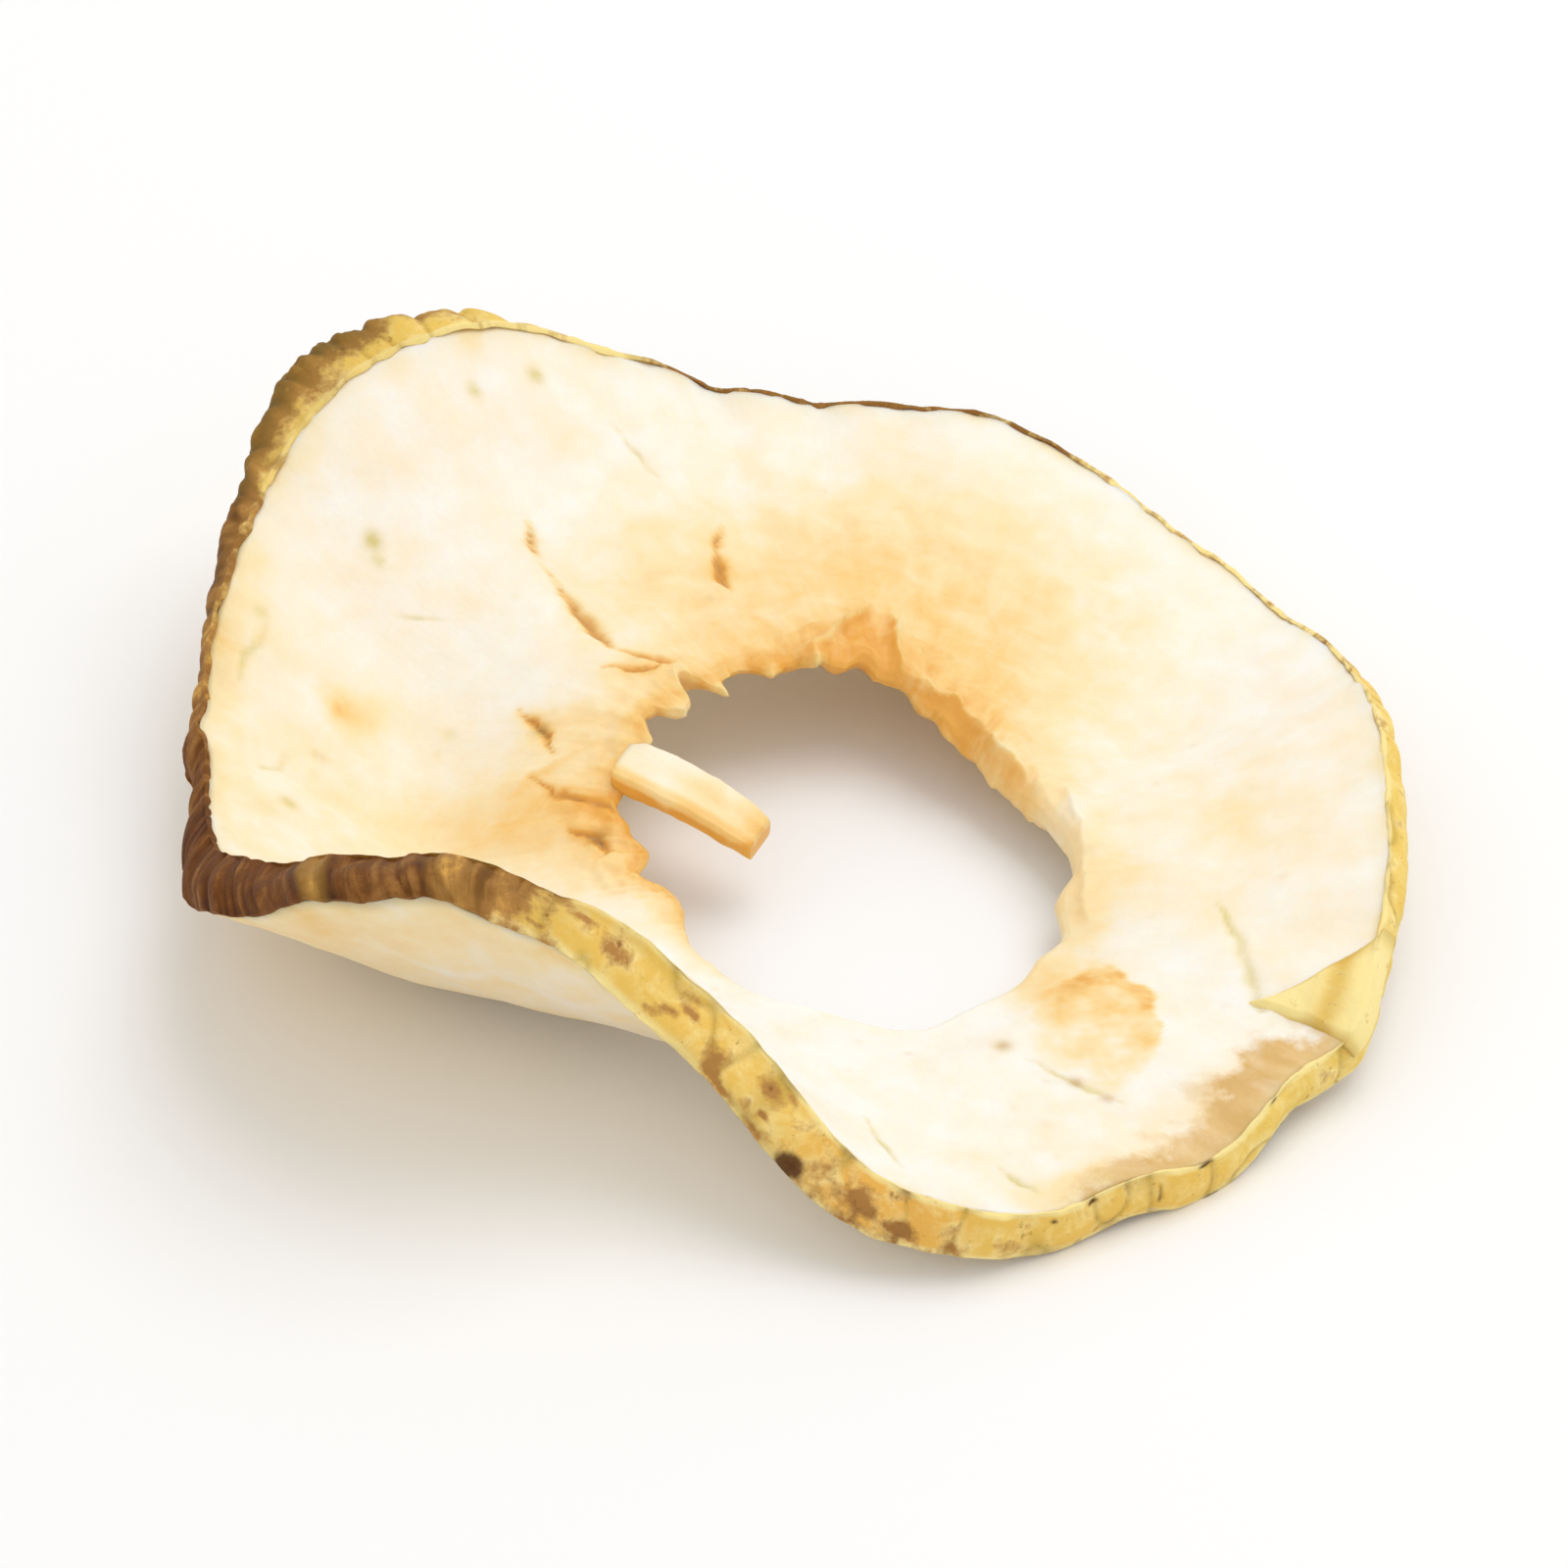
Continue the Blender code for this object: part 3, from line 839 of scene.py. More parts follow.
def skin(settings):
    """The skin: a thin shell round the rim, ribbed where it dried brown and puckered elsewhere."""
    mesh = spun(skin_section(settings), settings.steps_around)
    around, share, through = flat_places(mesh)
    out = share * WIDTH
    outer = unit(1 + out / (0.3 * settings.lip_width))
    down = unit((1 - through) / 2)
    upright = around - np.radians(total(around, RIB_LEAN)) * down
    brown, olive = skin_tones(upright)
    brown = unit(brown + patches(around, down, SKIN_SHADES))
    places = ring_places(upright, np.zeros_like(around), 1.0, MIDDLE_RADIUS / SLICE_RADIUS)
    places[:, 2] = down * SKIN_HEIGHT
    on_lip = (share < 0) & (np.abs(through) > 0.8)
    out = np.where(on_lip, out * (1 + LIP_UNEVENNESS * rough(places, 1.3 * MM, 19.0)), out)
    steep = places * (1, 1, RIB_REACH)
    leaning = steep + RIB_WAVER * rough(places, 2.2 * MM, 4.0)[:, None]
    ribs = unit(np.abs(rough(leaning, RIB_WIDTH, 1.0)) * 2.4) ** 0.75
    fine = unit(np.abs(rough(leaning, FINE_RIB_WIDTH, 9.0)) * 2.2)
    bulges = unit(np.abs(rough(places * (1, 1, 0.45), PUCKER_LENGTH, 14.0)) * 2.6) ** 0.6
    lumps = rough(places, 1.2 * MM, 12.0)
    knobby = np.abs(rough(places, KNOB_LENGTH, 13.0)) * 1.6
    knobs = total(around, SKIN_KNOBS) * (0.35 + knobby)
    ribbed = (1 - FINE_RIBS) * ribs + FINE_RIBS * fine
    relief = settings.rib_depth * brown * (ribbed - 1)
    relief += settings.pucker_depth * (1 - brown) * (bulges - 1) + SKIN_LUMPS * lumps
    room = settings.groove_limit * (0.35 + 0.65 * unit(1 - through**2))
    relief = np.clip(relief, -room, 0) + knobs * unit(1.4 * down * (1.9 - 1.4 * down))
    edge = unit(np.maximum(down - 0.84, 0.14 - down) / 0.14)
    scallops = rough(places * (1, 1, 0.2), 0.9 * MM, 17.0) + 0.5 * lumps
    through = through + SCALLOPS * edge * scallops * np.sign(through)
    across = 1 + (rim_out(around, through) + out + relief * outer) / WIDTH
    rise = half_thickness(around, across) * through
    clean_lip = unit(1 - total(around, DULL_LIPS))
    # painted highlight: the knobs' tops made lighter and less dull
    knob_tops = (knobby - 0.40) * total(around, PALE_KNOBS)
    spots = patches(around, down, SKIN_SPOTS) * (1 + 0.5 * rough(places, 0.7 * MM, 21.0))
    masks = {
        "brown": brown,
        "olive": olive,
        # crest paints highlight on the rib crests and shade in the grooves and creases
        "crest": np.where(brown > 0.5, 0.7 * ribs + 0.3 * fine, bulges),
        "bark": 0.5 + patches(upright, down, BARK_SHADES) + knob_tops,
        "dull": patches(around, down, DULL_PLACES) - knob_tops,
        "scab": unit(patches(around, down, SCABS)),
        "spot": np.clip((spots - SPOT_EDGE[0]) / SPOT_EDGE[1], 0, 0.9),
        "lip": (unit((down - 0.86) / 0.10) + unit((0.07 - down) / 0.05)) * clean_lip,
        "grain": steep,
    }
    return as_mesh(mesh, "skin", settled(on_slice(around, across, rise)), masks)


def on_line(line, along):
    """Places on a smooth curve through the four points of a line, along from 0 to 1."""
    weights = [(1 - along) ** 3, 3 * along * (1 - along) ** 2, 3 * along**2 * (1 - along), along**3]
    return sum(np.outer(weight, point) for point, weight in zip(line, weights))


# The strip of core, beyond what the solid has
STRIP_NARROWING = 0.18
STRIP_ROUNDING = 0.14
STRIP_LUMPS = 0.12 * MM
STRIP_HOLLOW = 0.25 * MM
STRIP_AMBER = 0.24


def core_strip(settings):
    """The strip of core that bends into the hole: a block, rounded and bent along a line."""
    mesh = bmesh.new()
    bmesh.ops.create_cube(mesh, size=1.0)
    cuts = settings.strip_cuts
    bmesh.ops.subdivide_edges(mesh, edges=list(mesh.edges), cuts=cuts, use_grid_fill=True)
    block = np.array([vert.co for vert in mesh.verts])
    along, across, up = block[:, 0] + 0.5, block[:, 1], block[:, 2]
    side_room = np.sqrt(unit(1 - STRIP_ROUNDING * (2 * up) ** 4))
    up_room = np.sqrt(unit(1 - 1.5 * STRIP_ROUNDING * (2 * across) ** 4))
    size = np.sqrt(unit(1 - STRIP_ROUNDING * (2 * along - 1) ** 8))
    size *= 1 - STRIP_NARROWING * along**4
    line = on_line(STRIP_LINE, along)
    places = line + np.array(STRIP_SIDE) * (across * side_room * STRIP_WIDTH * size)[:, None]
    raised = up * up_room - 0.12 * across - 0.10 * np.sin(5 * along + 1)
    hollow = bell(across - 0.12, 0.16) * bell(along - 0.62, 0.22) * unit(2 * up)
    places[:, 2] += raised * STRIP_THICKNESS * size - STRIP_HOLLOW * hollow
    outward = places - line
    outward /= np.maximum(np.linalg.norm(outward, axis=1), 1e-9)[:, None]
    lumps = STRIP_LUMPS * (rough(places, 1.6 * MM, 5.0) + 0.5 * rough(places, 0.6 * MM, 6.0))
    places = places + outward * lumps[:, None]
    # painted shade, partly the core's own amber: more amber on the lower and near sides, at the far
    # end and in the hollow
    end = unit((along - 0.80) / 0.20)
    near_side = unit((-across - 0.26) / 0.14)
    below = np.clip(0.25 - up, 0, 0.4) / 0.4
    amber = STRIP_AMBER + 0.75 * below + 0.34 * end + 0.30 * near_side
    amber += 0.20 * bell(across - 0.12, 0.12) * bell(along - 0.62, 0.2)
    # painted highlight: a paler band across the strip
    amber -= 0.12 * bell(along - 0.3, 0.2)
    none = np.zeros(len(places))
    masks = {
        "amber": unit(amber),
        "green": none,
        "brown": none,
        "beige": none,
        "grain": np.stack([along * 2 * MM, across * STRIP_WIDTH, up * STRIP_THICKNESS], axis=1),
    }
    return as_mesh(mesh, "core_strip", settled(places), masks)


def thickened(mesh, places, thickness, values):
    """Moves a sheet to places and thickens it below: its new places, and the carried values."""
    layers = [mesh.verts.layers.float.new(f"carried_{index}") for index in range(values.shape[1])]
    for vert, place, row in zip(mesh.verts, places, values):
        vert.co = place
        for layer, value in zip(layers, row):
            vert[layer] = value
    bmesh.ops.recalc_face_normals(mesh, faces=mesh.faces)
    mesh.normal_update()
    if sum(face.normal.z for face in mesh.faces) < 0:
        bmesh.ops.reverse_faces(mesh, faces=mesh.faces)
    bmesh.ops.solidify(mesh, geom=list(mesh.faces), thickness=thickness)
    carried = np.array([[vert[layer] for layer in layers] for vert in mesh.verts])
    return np.array([vert.co for vert in mesh.verts]), carried.T


# The fold of skin on the right lobe: its tip, and the stretch of rim that it turns over
FOLD_TIP = (-35.0, 0.65)
FOLD_RIM = (-36.0, -23.5)
FOLD_LIFT = 0.48 * MM
FOLD_TURN = 0.88  # where it bends down over the rim, from 0 at its tip to 1
FOLD_CREASE = 0.84  # where its upper border is bent down, from 0 at its front border to 1
FOLD_STRIPE = 0.64  # where the dull stripe runs across it, from 0 at its tip to 1
FOLD_THICKNESS = 0.35 * MM
FOLD_RIDGE = 0.22 * MM
FOLD_CREASE_DEPTH = 0.16 * MM
FOLD_WAVES = (0.16 * MM, 0.05 * MM)  # of its large and its small waves
FOLD_SEGMENTS = 60


def skin_fold(settings):
    """Skin turned over onto the upper face: a grid drawn to a tip, sunk in at its borders."""
    mesh = bmesh.new()
    bmesh.ops.create_grid(mesh, x_segments=FOLD_SEGMENTS, y_segments=FOLD_SEGMENTS, size=0.5)
    flat = np.array([vert.co for vert in mesh.verts])
    sideways, out = flat[:, 0] + 0.5, 0.53 + 0.97 * flat[:, 1]
    on_face = unit(out / FOLD_TURN)
    bend = 0.5 * math.pi * unit((out - FOLD_TURN) / (1 - FOLD_TURN))
    rim_bearing = FOLD_RIM[0] + (FOLD_RIM[1] - FOLD_RIM[0]) * sideways
    around = np.radians(FOLD_TIP[0] + (rim_bearing - FOLD_TIP[0]) * on_face)
    across = FOLD_TIP[1] + (1 - FOLD_TIP[1]) * on_face
    crumple = ring_places(around, across, 1.0)
    around += np.radians(0.5) * (2 * sideways - 1) * on_face * rough(crumple, 1.5 * MM, 6.0)
    inside = unit(np.minimum(15 * sideways, 8 - 8 * sideways) * on_face) ** 0.6
    lift = FOLD_LIFT * (1.2 * inside - 0.4) - 0.3 * MM * unit(1 - out / 0.07)
    lift += patches(around, across, FACE_RELIEF) * unit(12 - 12 * on_face)
    ridge = FOLD_RIDGE * bell(on_face - 0.60, 0.06) * inside
    lift += ridge - FOLD_CREASE_DEPTH * bell(sideways - FOLD_CREASE, 0.05) * on_face
    large, small = FOLD_WAVES
    lift += inside * (large * rough(crumple, 1.8 * MM, 3.0) + small * rough(crumple, 0.7 * MM, 4.0))
    across += (rim_out(around, np.cos(bend)) + 0.05 * MM) * np.sin(bend) / WIDTH
    rise = half_thickness(around, across) * (0.3 + 0.7 * np.cos(bend)) + lift * np.cos(bend)
    places, values = on_slice(around, across, rise), np.stack([sideways, out], axis=1)
    places, (sideways, out) = thickened(mesh, places, FOLD_THICKNESS, values)
    none = np.zeros(len(places))
    stripe = bell(out - FOLD_STRIPE, 0.065)
    # painted shade along the fold's borders, partly their own olive
    border_shade = np.maximum(bell(sideways - 1, 0.09), 0.8 * bell(sideways, 0.035)) * unit(3 * out - 0.2)
    masks = {
        "brown": none,
        "olive": none + 0.6,
        "crest": 0.8 - 0.35 * bell(sideways - FOLD_CREASE, 0.03),
        "bark": none + 0.5,
        "dull": 0.30 * stripe + 0.50 * border_shade,
        "scab": none,
        "spot": none,
        "lip": np.clip(1.15 - stripe - 0.7 * border_shade, 0, 1.15),
        "grain": places,
    }
    return as_mesh(mesh, "skin_fold", settled(places), masks)


class Level:
    """A value or a colour over the surface. Reckoning with a value adds Math nodes."""

    def __init__(self, socket):
        self.socket = socket

    def __add__(self, other):
        return maths("ADD", self, other)

    def __sub__(self, other):
        return maths("SUBTRACT", self, other)

    def __rsub__(self, other):
        return maths("SUBTRACT", other, self)

    def __mul__(self, other):
        return maths("MULTIPLY", self, other)

    def __truediv__(self, other):
        return maths("DIVIDE", self, other)

    def __rtruediv__(self, other):
        return maths("DIVIDE", other, self)

    def clamped(self):
        self.socket.node.use_clamp = True
        return self


def maths(operation, first, second):
    """A Math node on two values, of which one at least is a Level."""
    tree = next(level.socket.id_data for level in (first, second) if isinstance(level, Level))
    return Level(add(tree, "ShaderNodeMath", {0: first, 1: second}, operation=operation).outputs[0])


def fill(tree, inputs, values):
    """Gives each named input its value, or a link to its level."""
    for name, value in values.items():
        if isinstance(value, Level):
            tree.links.new(value.socket, inputs[name])
        else:
            inputs[name].default_value = value


def add(tree, kind, values=None, **settings):
    """Adds a node with its settings, and fills its inputs."""
    made = tree.nodes.new(kind)
    for name, value in settings.items():
        setattr(made, name, value)
    fill(tree, made.inputs, values or {})
    return made


def paint(colour):
    """A colour as a socket takes it."""
    return colour if isinstance(colour, Level) else (*colour, 1.0)


def mixed(tree, share, first, second):
    """A mix of two colours, the second by its share."""
    values = {0: share, 6: paint(first), 7: paint(second)}
    return Level(add(tree, "ShaderNodeMix", values, data_type="RGBA", clamp_factor=True).outputs[2])


def ramp(tree, share, stops):
    """The colour at this share of the way through the stops."""
    made = add(tree, "ShaderNodeValToRGB", {"Fac": share})
    colours = made.color_ramp.elements
    while len(colours) < len(stops):
        colours.new(0.5)
    for element, (place, colour) in zip(colours, stops):
        element.position = place
        element.color = paint(colour)
    return Level(made.outputs["Color"])


def noisy(tree, vector, scale, detail, roughness=0.5, distortion=0.0):
    """A noise from 0 to 1, its scale in the vector's own unit."""
    values = {"Vector": vector, "Scale": scale, "Detail": detail, "Roughness": roughness}
    values["Distortion"] = distortion
    return Level(add(tree, "ShaderNodeTexNoise", values).outputs["Fac"])


def in_millimetres(tree, socket):
    """The vector of a socket, from metres to millimetres."""
    values = {0: Level(socket), "Scale": 1 / MM}
    return Level(add(tree, "ShaderNodeVectorMath", values, operation="SCALE").outputs["Vector"])


def mask(tree, name):
    """The values that the vertices carry under this name."""
    return Level(add(tree, "ShaderNodeAttribute", attribute_name=name).outputs["Fac"])


def group(name, inputs, outputs):
    """An empty node group. An input with a default is a value, and one with None is a vector."""
    tree = bpy.data.node_groups.new(name, "ShaderNodeTree")
    for socket, default in inputs.items():
        kind = "NodeSocketVector" if default is None else "NodeSocketFloat"
        made = tree.interface.new_socket(socket, in_out="INPUT", socket_type=kind)
        if default is not None:
            made.default_value = default
    for socket in outputs:
        tree.interface.new_socket(socket, in_out="OUTPUT", socket_type="NodeSocketFloat")
    given = tree.nodes.new("NodeGroupInput").outputs
    made = tree.nodes.new("NodeGroupOutput").inputs
    return tree, {socket: Level(given[socket]) for socket in inputs}, made


def blotches_group():
    """Uneven blotches that cover about the amount of the surface that is asked for."""
    sockets = {"Vector": None, "Amount": 0.5, "Size": 1.0, "Softness": 0.1}
    tree, given, made = group("blotches", sockets, ["Mask"])
    texture = noisy(tree, given["Vector"], 1.0 / given["Size"], 5.0, 0.62)
    spread = {"Value": texture, "From Min": 0.27, "From Max": 0.73}
    above = Level(add(tree, "ShaderNodeMapRange", spread).outputs[0]) + given["Amount"] - 1.0
    soft = maths("MAXIMUM", given["Softness"], 0.001)
    fill(tree, made, {"Mask": (above / soft + 0.5).clamped()})
    return tree


def blotched(tree, place, amount, size, softness):
    """The mask of some blotches, their size in millimetres."""
    shared = bpy.data.node_groups.get("blotches") or blotches_group()
    values = {"Vector": place, "Amount": amount, "Size": size, "Softness": softness}
    return Level(add(tree, "ShaderNodeGroup", values, node_tree=shared).outputs["Mask"])


def grain_group():
    """The fine surface of dried flesh: pores and creases, and fibres along the grain."""
    sockets = {"Vector": None, "Grain": None, "Size": 0.4}
    tree, given, made = group("dried_grain", sockets, ["Height", "Mottle"])
    scale = 1.0 / given["Size"]
    pores = noisy(tree, given["Vector"], scale, 4.0)
    fibres = noisy(tree, given["Grain"], scale, 3.0)
    wide = noisy(tree, given["Vector"], scale * 0.16, 4.0)
    fill(tree, made, {"Height": pores + fibres * 0.8, "Mottle": wide})
    return tree


def dried_material(name, grain_size):
    """A new material, its places on the piece and along the grain, and its fine grain."""
    material = bpy.data.materials.new(name)
    material.use_nodes = True
    tree = material.node_tree
    place = in_millimetres(tree, add(tree, "ShaderNodeTexCoord").outputs["Object"])
    carried = add(tree, "ShaderNodeAttribute", attribute_name="grain")
    along = in_millimetres(tree, carried.outputs["Vector"])
    shared = bpy.data.node_groups.get("dried_grain") or grain_group()
    values = {"Vector": place, "Grain": along, "Size": grain_size}
    grain = add(tree, "ShaderNodeGroup", values, node_tree=shared).outputs
    return material, tree, place, along, {socket.name: Level(socket) for socket in grain}


def finish(tree, height, depth, values):
    """Fills the shader's inputs, and gives it bumps of this height and depth."""
    bump = add(tree, "ShaderNodeBump", {"Height": height, "Strength": 1.0, "Distance": depth})
    values["Normal"] = Level(bump.outputs["Normal"])
    fill(tree, tree.nodes["Principled BSDF"].inputs, values)


def flesh_material(colours):
    """Cream flesh that goes through gold to amber where it is stained and where shade is painted.
    """
    material, tree, place, along, grain = dried_material("dried_flesh", 0.45)
    streaks = noisy(tree, along, 1 / 1.2, 4.0, 0.6)
    cloud = noisy(tree, place, 1 / 2.4, 5.0, 0.62, 0.6)
    # the amber mask holds stains and painted shade alike
    stain = mask(tree, "amber") * (streaks * 0.6 + cloud * 1.4)
    colour = ramp(tree, stain + (grain["Mottle"] - 0.475) * 0.34, [
        (0.0, colours.pale),
        (0.28, colours.warm),
        (0.58, colours.gold),
        (0.95, colours.amber),
    ])
    beige = mask(tree, "beige")
    browned = blotched(tree, place, beige, 2.2, 0.5) * (beige * 2.0).clamped()
    browned = browned * (cloud * 1.1 + 0.45)
    mottle = ((streaks - 0.40) * 3.0).clamped()
    colour = mixed(tree, browned, colour, mixed(tree, mottle, colours.beige, colours.light_beige))
    for name in ("green", "brown"):
        speckle = (mask(tree, name) * (cloud * 1.8)).clamped()
        colour = mixed(tree, speckle, colour, getattr(colours, name))
    finish(tree, grain["Height"], 0.035 * MM, {
        "Base Color": colour,
        "Roughness": 0.60 - stain * 0.25,
        "Subsurface Weight": colours.softness,
        "Subsurface Radius": (1.0, 0.62, 0.36),
        "Subsurface Scale": colours.glow_depth,
        "Specular IOR Level": 0.35,
    })
    return material


def skin_material(colours):
    """Dried skin: yellow-green with tan patches, and brown ribs where it browned."""
    material, tree, place, along, grain = dried_material("dried_skin", 0.35)
    crest, browned, olive, lip = (mask(tree, name) for name in ("crest", "brown", "olive", "lip"))
    streaks = noisy(tree, along, 1 / 0.55, 4.0, 0.62)
    cloud = noisy(tree, place, 1 / 1.5, 5.0, 0.62, 0.4)
    fresh = mixed(tree, olive, colours.tan, colours.green)
    fresh = mixed(tree, ((cloud - 0.43) * 3.0).clamped(), fresh, colours.light)
    fresh = mixed(tree, lip * 0.8, fresh, colours.light)
    # painted shade: olive in the creases between the puckers
    fresh = mixed(tree, ((0.42 - crest) * 1.6).clamped(), fresh, colours.olive)
    fresh = mixed(tree, mask(tree, "dull") * (cloud * 1.6 + 0.1), fresh, colours.olive)
    # the crest term paints highlight on the rib crests and shade in the grooves
    tone = crest * 0.26 + (streaks * 0.8 + cloud * 0.8 + mask(tree, "bark"))
    bark = ramp(tree, tone - 1.05, [
        (0.08, colours.dark),
        (0.42, colours.brown),
        (0.76, colours.light_brown),
        (1.00, colours.tan),
    ])
    bark = mixed(tree, olive * 0.5, bark, colours.olive)
    amount = maths("MAXIMUM", browned * 1.25, mask(tree, "scab") * 0.90)
    scabs = blotched(tree, place, amount, 1.5, 0.42)
    scab = mixed(tree, (browned * 1.15).clamped(), colours.scab, bark)
    colour = mixed(tree, scabs, fresh, scab)
    specks = blotched(tree, place, 0.12, 0.6, 0.22) * (0.6 - lip * 0.5).clamped()
    colour = mixed(tree, specks, colour, colours.brown)
    finish(tree, grain["Height"] - scabs * 0.5, 0.06 * MM, {
        "Base Color": mixed(tree, mask(tree, "spot"), colour, colours.dark),
        "Roughness": cloud * 0.30 + 0.45,
        "Subsurface Weight": 0.15,
        "Subsurface Radius": (1.0, 0.55, 0.25),
        "Subsurface Scale": 0.8 * MM,
        "Specular IOR Level": 0.06,
    })
    return material


def floor_material(colour):
    material = bpy.data.materials.new("pale_floor")
    material.use_nodes = True
    values = {"Base Color": paint(colour), "Roughness": 0.9, "Specular IOR Level": 0.1}
    fill(material.node_tree, material.node_tree.nodes["Principled BSDF"].inputs, values)
    return material


def a_colour(name, description, default):
    given = {"name": name, "description": description, "default": default}
    return bpy.props.FloatVectorProperty(subtype="COLOR", size=3, min=0.0, max=1.0, **given)


def a_length(name, description, default):
    given = {"name": name, "description": description, "default": default}
    return bpy.props.FloatProperty(min=0.0, unit="LENGTH", precision=5, **given)


def a_count(name, description, default, least):
    return bpy.props.IntProperty(name=name, description=description, default=default, min=least)


def an_amount(name, description, default, most):
    given = {"name": name, "description": description, "default": default}
    return bpy.props.FloatProperty(min=0.0, max=most, **given)


class FleshSettings(bpy.types.PropertyGroup):
    """Sizes and colours of the flesh"""

    steps_around: a_count("Steps around", "Steps of the ring, before the cuts", 170, 16)
    top_rows: a_count("Rows on top", "Rows across the upper face, before the cuts", 23, 4)
    bottom_rows: a_count("Rows below", "Rows across the lower face, before the cuts", 8, 4)
    skin_inset: a_length("Skin inset", "How far the flesh's faces end inside the skin", 0.28 * MM)
    skin_room: a_length("Skin room", "How much deeper it stands back between its faces", 0.55 * MM)
    lump_height: a_length("Lump height", "Height of the soft lumps of the cut faces", 0.12 * MM)
    fibre_height: a_length("Fibre height", "Height of the fibres that run to the core", 0.14 * MM)
    pucker_depth: a_length("Pucker depth", "Depth of the puckers beside the skin", 0.14 * MM)
    crease_depth: a_length("Crease depth", "Depth of the fine creases round the ring", 0.14 * MM)
    pale: a_colour("Pale flesh", "Colour of the clean flesh", (0.955, 0.912, 0.835))
    # warm, golden and amber flesh also show the amber mask's painted shade
    warm: a_colour("Warm flesh", "Colour of faintly stained flesh", (0.96, 0.765, 0.45))
    gold: a_colour("Golden flesh", "Colour of stained flesh", (0.93, 0.62, 0.235))
    amber: a_colour("Amber flesh", "Colour of the darkest stains", (0.83, 0.42, 0.075))
    beige: a_colour("Beige flesh", "Colour of the browned flesh by the skin", (0.70, 0.44, 0.15))
    light_beige: a_colour("Light beige flesh", "Colour of its lighter streaks", (0.84, 0.60, 0.29))
    green: a_colour("Green specks", "Colour of the specks in the flesh", (0.68, 0.58, 0.16))
    # brown specks also colour the slits' bottoms, partly as painted shade
    brown: a_colour("Brown specks", "Colour of the dark bottoms of slits", (0.50, 0.24, 0.06))
    softness: an_amount("Softness", "How much light goes into the flesh", 0.30, 1.0)
    glow_depth: a_length("Glow depth", "How far light spreads in the flesh", 1.6 * MM)


class SkinSettings(bpy.types.PropertyGroup):
    """Sizes and colours of the skin"""

    steps_around: a_count("Steps around", "Steps of the ring, before the cuts", 360, 16)
    side_rows: a_count("Rows", "Rows down the skin, before the cuts", 9, 3)
    lip_width: a_length("Lip width", "Width of the skin's cut edge", 0.34 * MM)
    wall: a_length("Wall", "Thickness of the skin", 0.95 * MM)
    rib_depth: a_length("Rib depth", "Depth of the grooves between the brown ribs", 0.30 * MM)
    pucker_depth: a_length("Pucker depth", "Depth of the creases between the puckers", 0.42 * MM)
    groove_limit: a_length("Groove limit", "The deepest that a groove may reach", 0.65 * MM)
    green: a_colour("Green skin", "Colour of the yellow-green skin", (0.86, 0.61, 0.14))
    tan: a_colour("Tan skin", "Colour of the tan patches", (0.86, 0.48, 0.10))
    # olive also paints shade into the skin's creases
    olive: a_colour("Olive skin", "Colour of the dull places and the creases", (0.46, 0.30, 0.055))
    light: a_colour("Light skin", "Colour of the palest skin", (0.99, 0.81, 0.36))
    scab: a_colour("Scabs", "Colour of the scabs on fresh skin", (0.50, 0.25, 0.070))
    # light brown paints highlight on rib crests; dark paints shade in grooves, and colours cracks
    # and spots
    light_brown: a_colour("Light brown skin", "Colour of the ribs' crests", (0.39, 0.185, 0.050))
    brown: a_colour("Brown skin", "Colour of the browned skin", (0.17, 0.060, 0.013))
    dark: a_colour("Dark skin", "Colour of the grooves and cracks", (0.080, 0.026, 0.010))


class CoreSettings(bpy.types.PropertyGroup):
    """Sizes of the strip of core"""

    strip_cuts: a_count("Cuts", "How finely the strip of core is cut", 34, 2)


class StageSettings(bpy.types.PropertyGroup):
    """The floor, the light and the camera"""

    floor_size: a_length("Floor size", "Side of the floor", 4.0)
    floor_colour: a_colour("Floor colour", "Colour of the floor", (0.94, 0.94, 0.94))
    sky: an_amount("Sky", "Strength of the light from all round", 0.77, 10.0)
    key: an_amount("Key light", "Power of the main light, in watts", 1.9, 1000.0)
    key_size: a_length("Key light size", "Side of the main light", 0.55)
    elevation: bpy.props.FloatProperty(
        name="Elevation",
        description="The camera's angle above the floor",
        default=math.radians(38),
        subtype="ANGLE",
    )
    distance: a_length("Distance", "From the camera to the slice", 0.4678)
    lens: an_amount("Lens", "Focal length in millimetres", 200.0, 1000.0)


WARM_WHITE = (1.0, 0.985, 0.96)
SENSOR_WIDTH = 36.0
KEY_DIRECTION = Vector((0.32, 0.20, 0.92))
KEY_DISTANCE = 0.7
CAMERA_AIM = Vector((-0.0004, 0.00321, 0.00349))


def ride_as_apple(piece, material, make_material, colours):
    """Gives a piece its material, made once, and puts it on the part."""
    piece.data.materials.append(bpy.data.materials.get(material) or make_material(colours))
    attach(piece, "root")


class APPLE_SLICE_OT_flesh(bpy.types.Operator):
    """Make the flesh of the slice"""

    bl_idname = "apple_slice.flesh"
    bl_label = "Flesh"

    def execute(self, context):
        settings = context.scene.apple_flesh
        piece = flesh(settings)
        ride_as_apple(piece, "dried_flesh", flesh_material, settings)
        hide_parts("apple_slice")
        return {"FINISHED"}


class APPLE_SLICE_OT_skin(bpy.types.Operator):
    """Make the skin round the rim"""

    bl_idname = "apple_slice.skin"
    bl_label = "Skin"

    def execute(self, context):
        settings = context.scene.apple_skin
        ride_as_apple(skin(settings), "dried_skin", skin_material, settings)
        return {"FINISHED"}


class APPLE_SLICE_OT_skin_fold(bpy.types.Operator):
    """Make the fold of skin on the right lobe"""

    bl_idname = "apple_slice.skin_fold"
    bl_label = "Skin fold"

    def execute(self, context):
        settings = context.scene.apple_skin
        ride_as_apple(skin_fold(settings), "dried_skin", skin_material, settings)
        return {"FINISHED"}


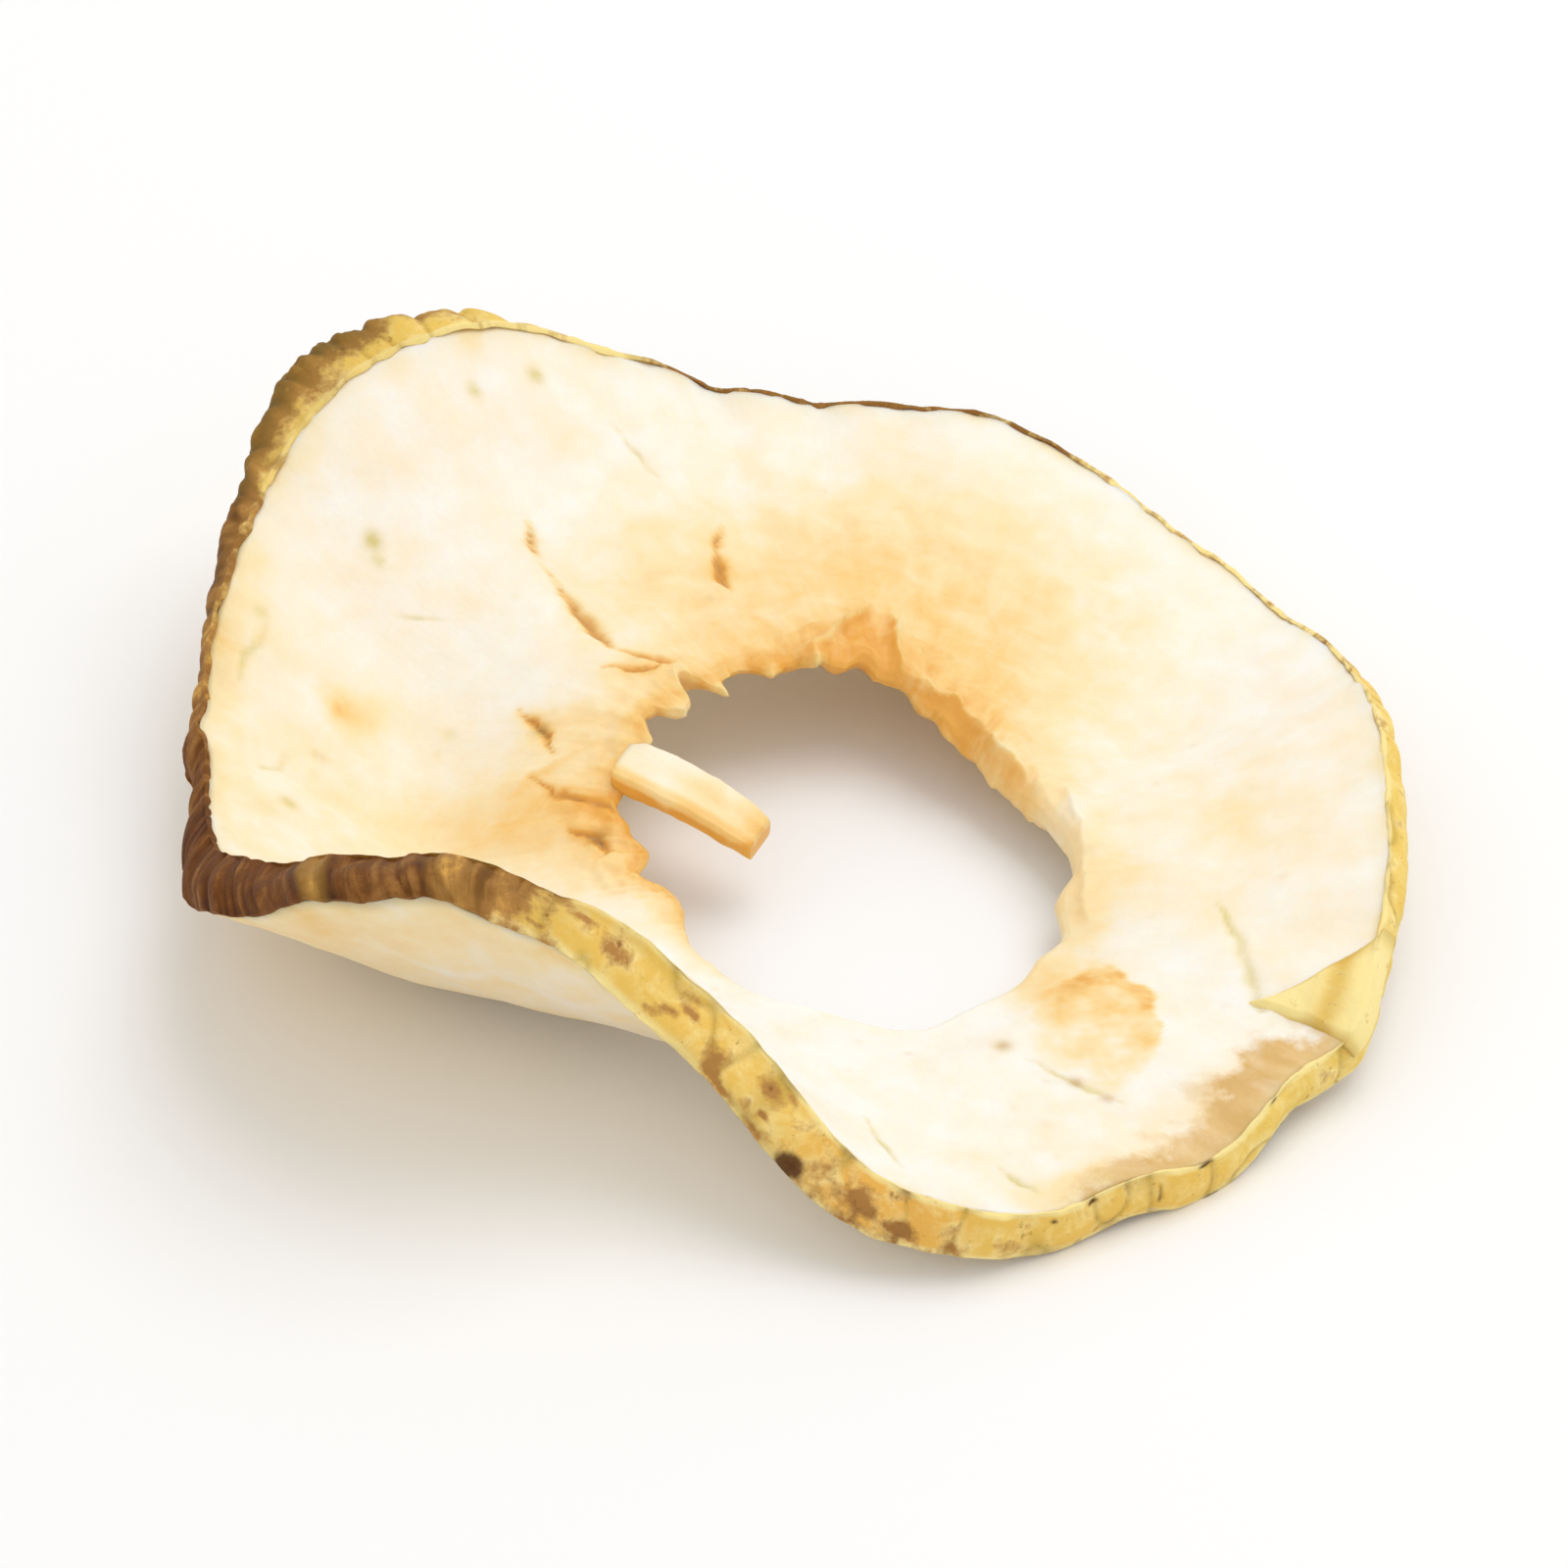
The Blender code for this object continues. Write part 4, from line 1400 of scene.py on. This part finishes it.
class APPLE_SLICE_OT_core_strip(bpy.types.Operator):
    """Make the strip of core that bends into the hole"""

    bl_idname = "apple_slice.core_strip"
    bl_label = "Core strip"

    def execute(self, context):
        piece = core_strip(context.scene.apple_core)
        ride_as_apple(piece, "dried_flesh", flesh_material, context.scene.apple_flesh)
        return {"FINISHED"}


class APPLE_SLICE_OT_stage(bpy.types.Operator):
    """Make the floor, the light and the camera"""

    bl_idname = "apple_slice.stage"
    bl_label = "Stage"

    def execute(self, context):
        scene, settings = context.scene, context.scene.apple_stage
        mesh = bmesh.new()
        bmesh.ops.create_grid(mesh, x_segments=1, y_segments=1, size=settings.floor_size / 2)
        data = bpy.data.meshes.new("floor")
        mesh.to_mesh(data)
        mesh.free()
        floor = placed("floor", data)
        floor.location.z = FLOOR_HEIGHT
        data.materials.append(floor_material(settings.floor_colour))

        world = bpy.data.worlds.new("studio")
        world.use_nodes = True
        sky = {"Color": (1.0, 1.0, 1.0, 1.0), "Strength": settings.sky}
        fill(world.node_tree, world.node_tree.nodes["Background"].inputs, sky)
        scene.world = world

        lamp = bpy.data.lights.new("key", "AREA")
        lamp.energy = settings.key
        lamp.size = settings.key_size
        lamp.color = WARM_WHITE
        key = placed("key", lamp)
        direction = KEY_DIRECTION.normalized()
        key.location = direction * KEY_DISTANCE
        key.rotation_euler = direction.to_track_quat("Z", "Y").to_euler()

        lens = bpy.data.cameras.new("camera")
        lens.sensor_width = SENSOR_WIDTH
        lens.lens = settings.lens
        lens.clip_start = 0.01
        camera = placed("camera", lens)
        back = Vector((0.0, -math.cos(settings.elevation), math.sin(settings.elevation)))
        camera.location = CAMERA_AIM + back * settings.distance
        camera.rotation_euler = back.to_track_quat("Z", "Y").to_euler()
        scene.camera = camera
        scene.view_settings.view_transform = "Standard"
        return {"FINISHED"}


OPERATORS = (
    APPLE_SLICE_OT_stage,
    APPLE_SLICE_OT_flesh,
    APPLE_SLICE_OT_skin,
    APPLE_SLICE_OT_skin_fold,
    APPLE_SLICE_OT_core_strip,
)
SETTINGS = {
    "apple_flesh": FleshSettings,
    "apple_skin": SkinSettings,
    "apple_core": CoreSettings,
    "apple_stage": StageSettings,
}


class APPLE_SLICE_PT_panel(bpy.types.Panel):
    """Lists the pieces of the slice and their settings"""

    bl_idname = "APPLE_SLICE_PT_panel"
    bl_label = "Dried apple slice"
    bl_space_type = "VIEW_3D"
    bl_region_type = "UI"
    bl_category = "Apple slice"

    def draw(self, context):
        for operator in OPERATORS:
            self.layout.operator(operator.bl_idname)
        for name, settings in SETTINGS.items():
            box = self.layout.box()
            box.label(text=settings.__doc__)
            for field in settings.__annotations__:
                box.prop(getattr(context.scene, name), field)


def register():
    for settings in SETTINGS.values():
        bpy.utils.register_class(settings)
    for name, settings in SETTINGS.items():
        setattr(bpy.types.Scene, name, bpy.props.PointerProperty(type=settings))
    for operator in OPERATORS:
        bpy.utils.register_class(operator)
    bpy.utils.register_class(APPLE_SLICE_PT_panel)


def unregister():
    bpy.utils.unregister_class(APPLE_SLICE_PT_panel)
    for operator in reversed(OPERATORS):
        bpy.utils.unregister_class(operator)
    for name, settings in SETTINGS.items():
        delattr(bpy.types.Scene, name)
        bpy.utils.unregister_class(settings)


def main():
    register()
    for operator in OPERATORS:
        getattr(bpy.ops.apple_slice, operator.bl_idname.split(".")[1])()


if __name__ == "__main__":
    main()
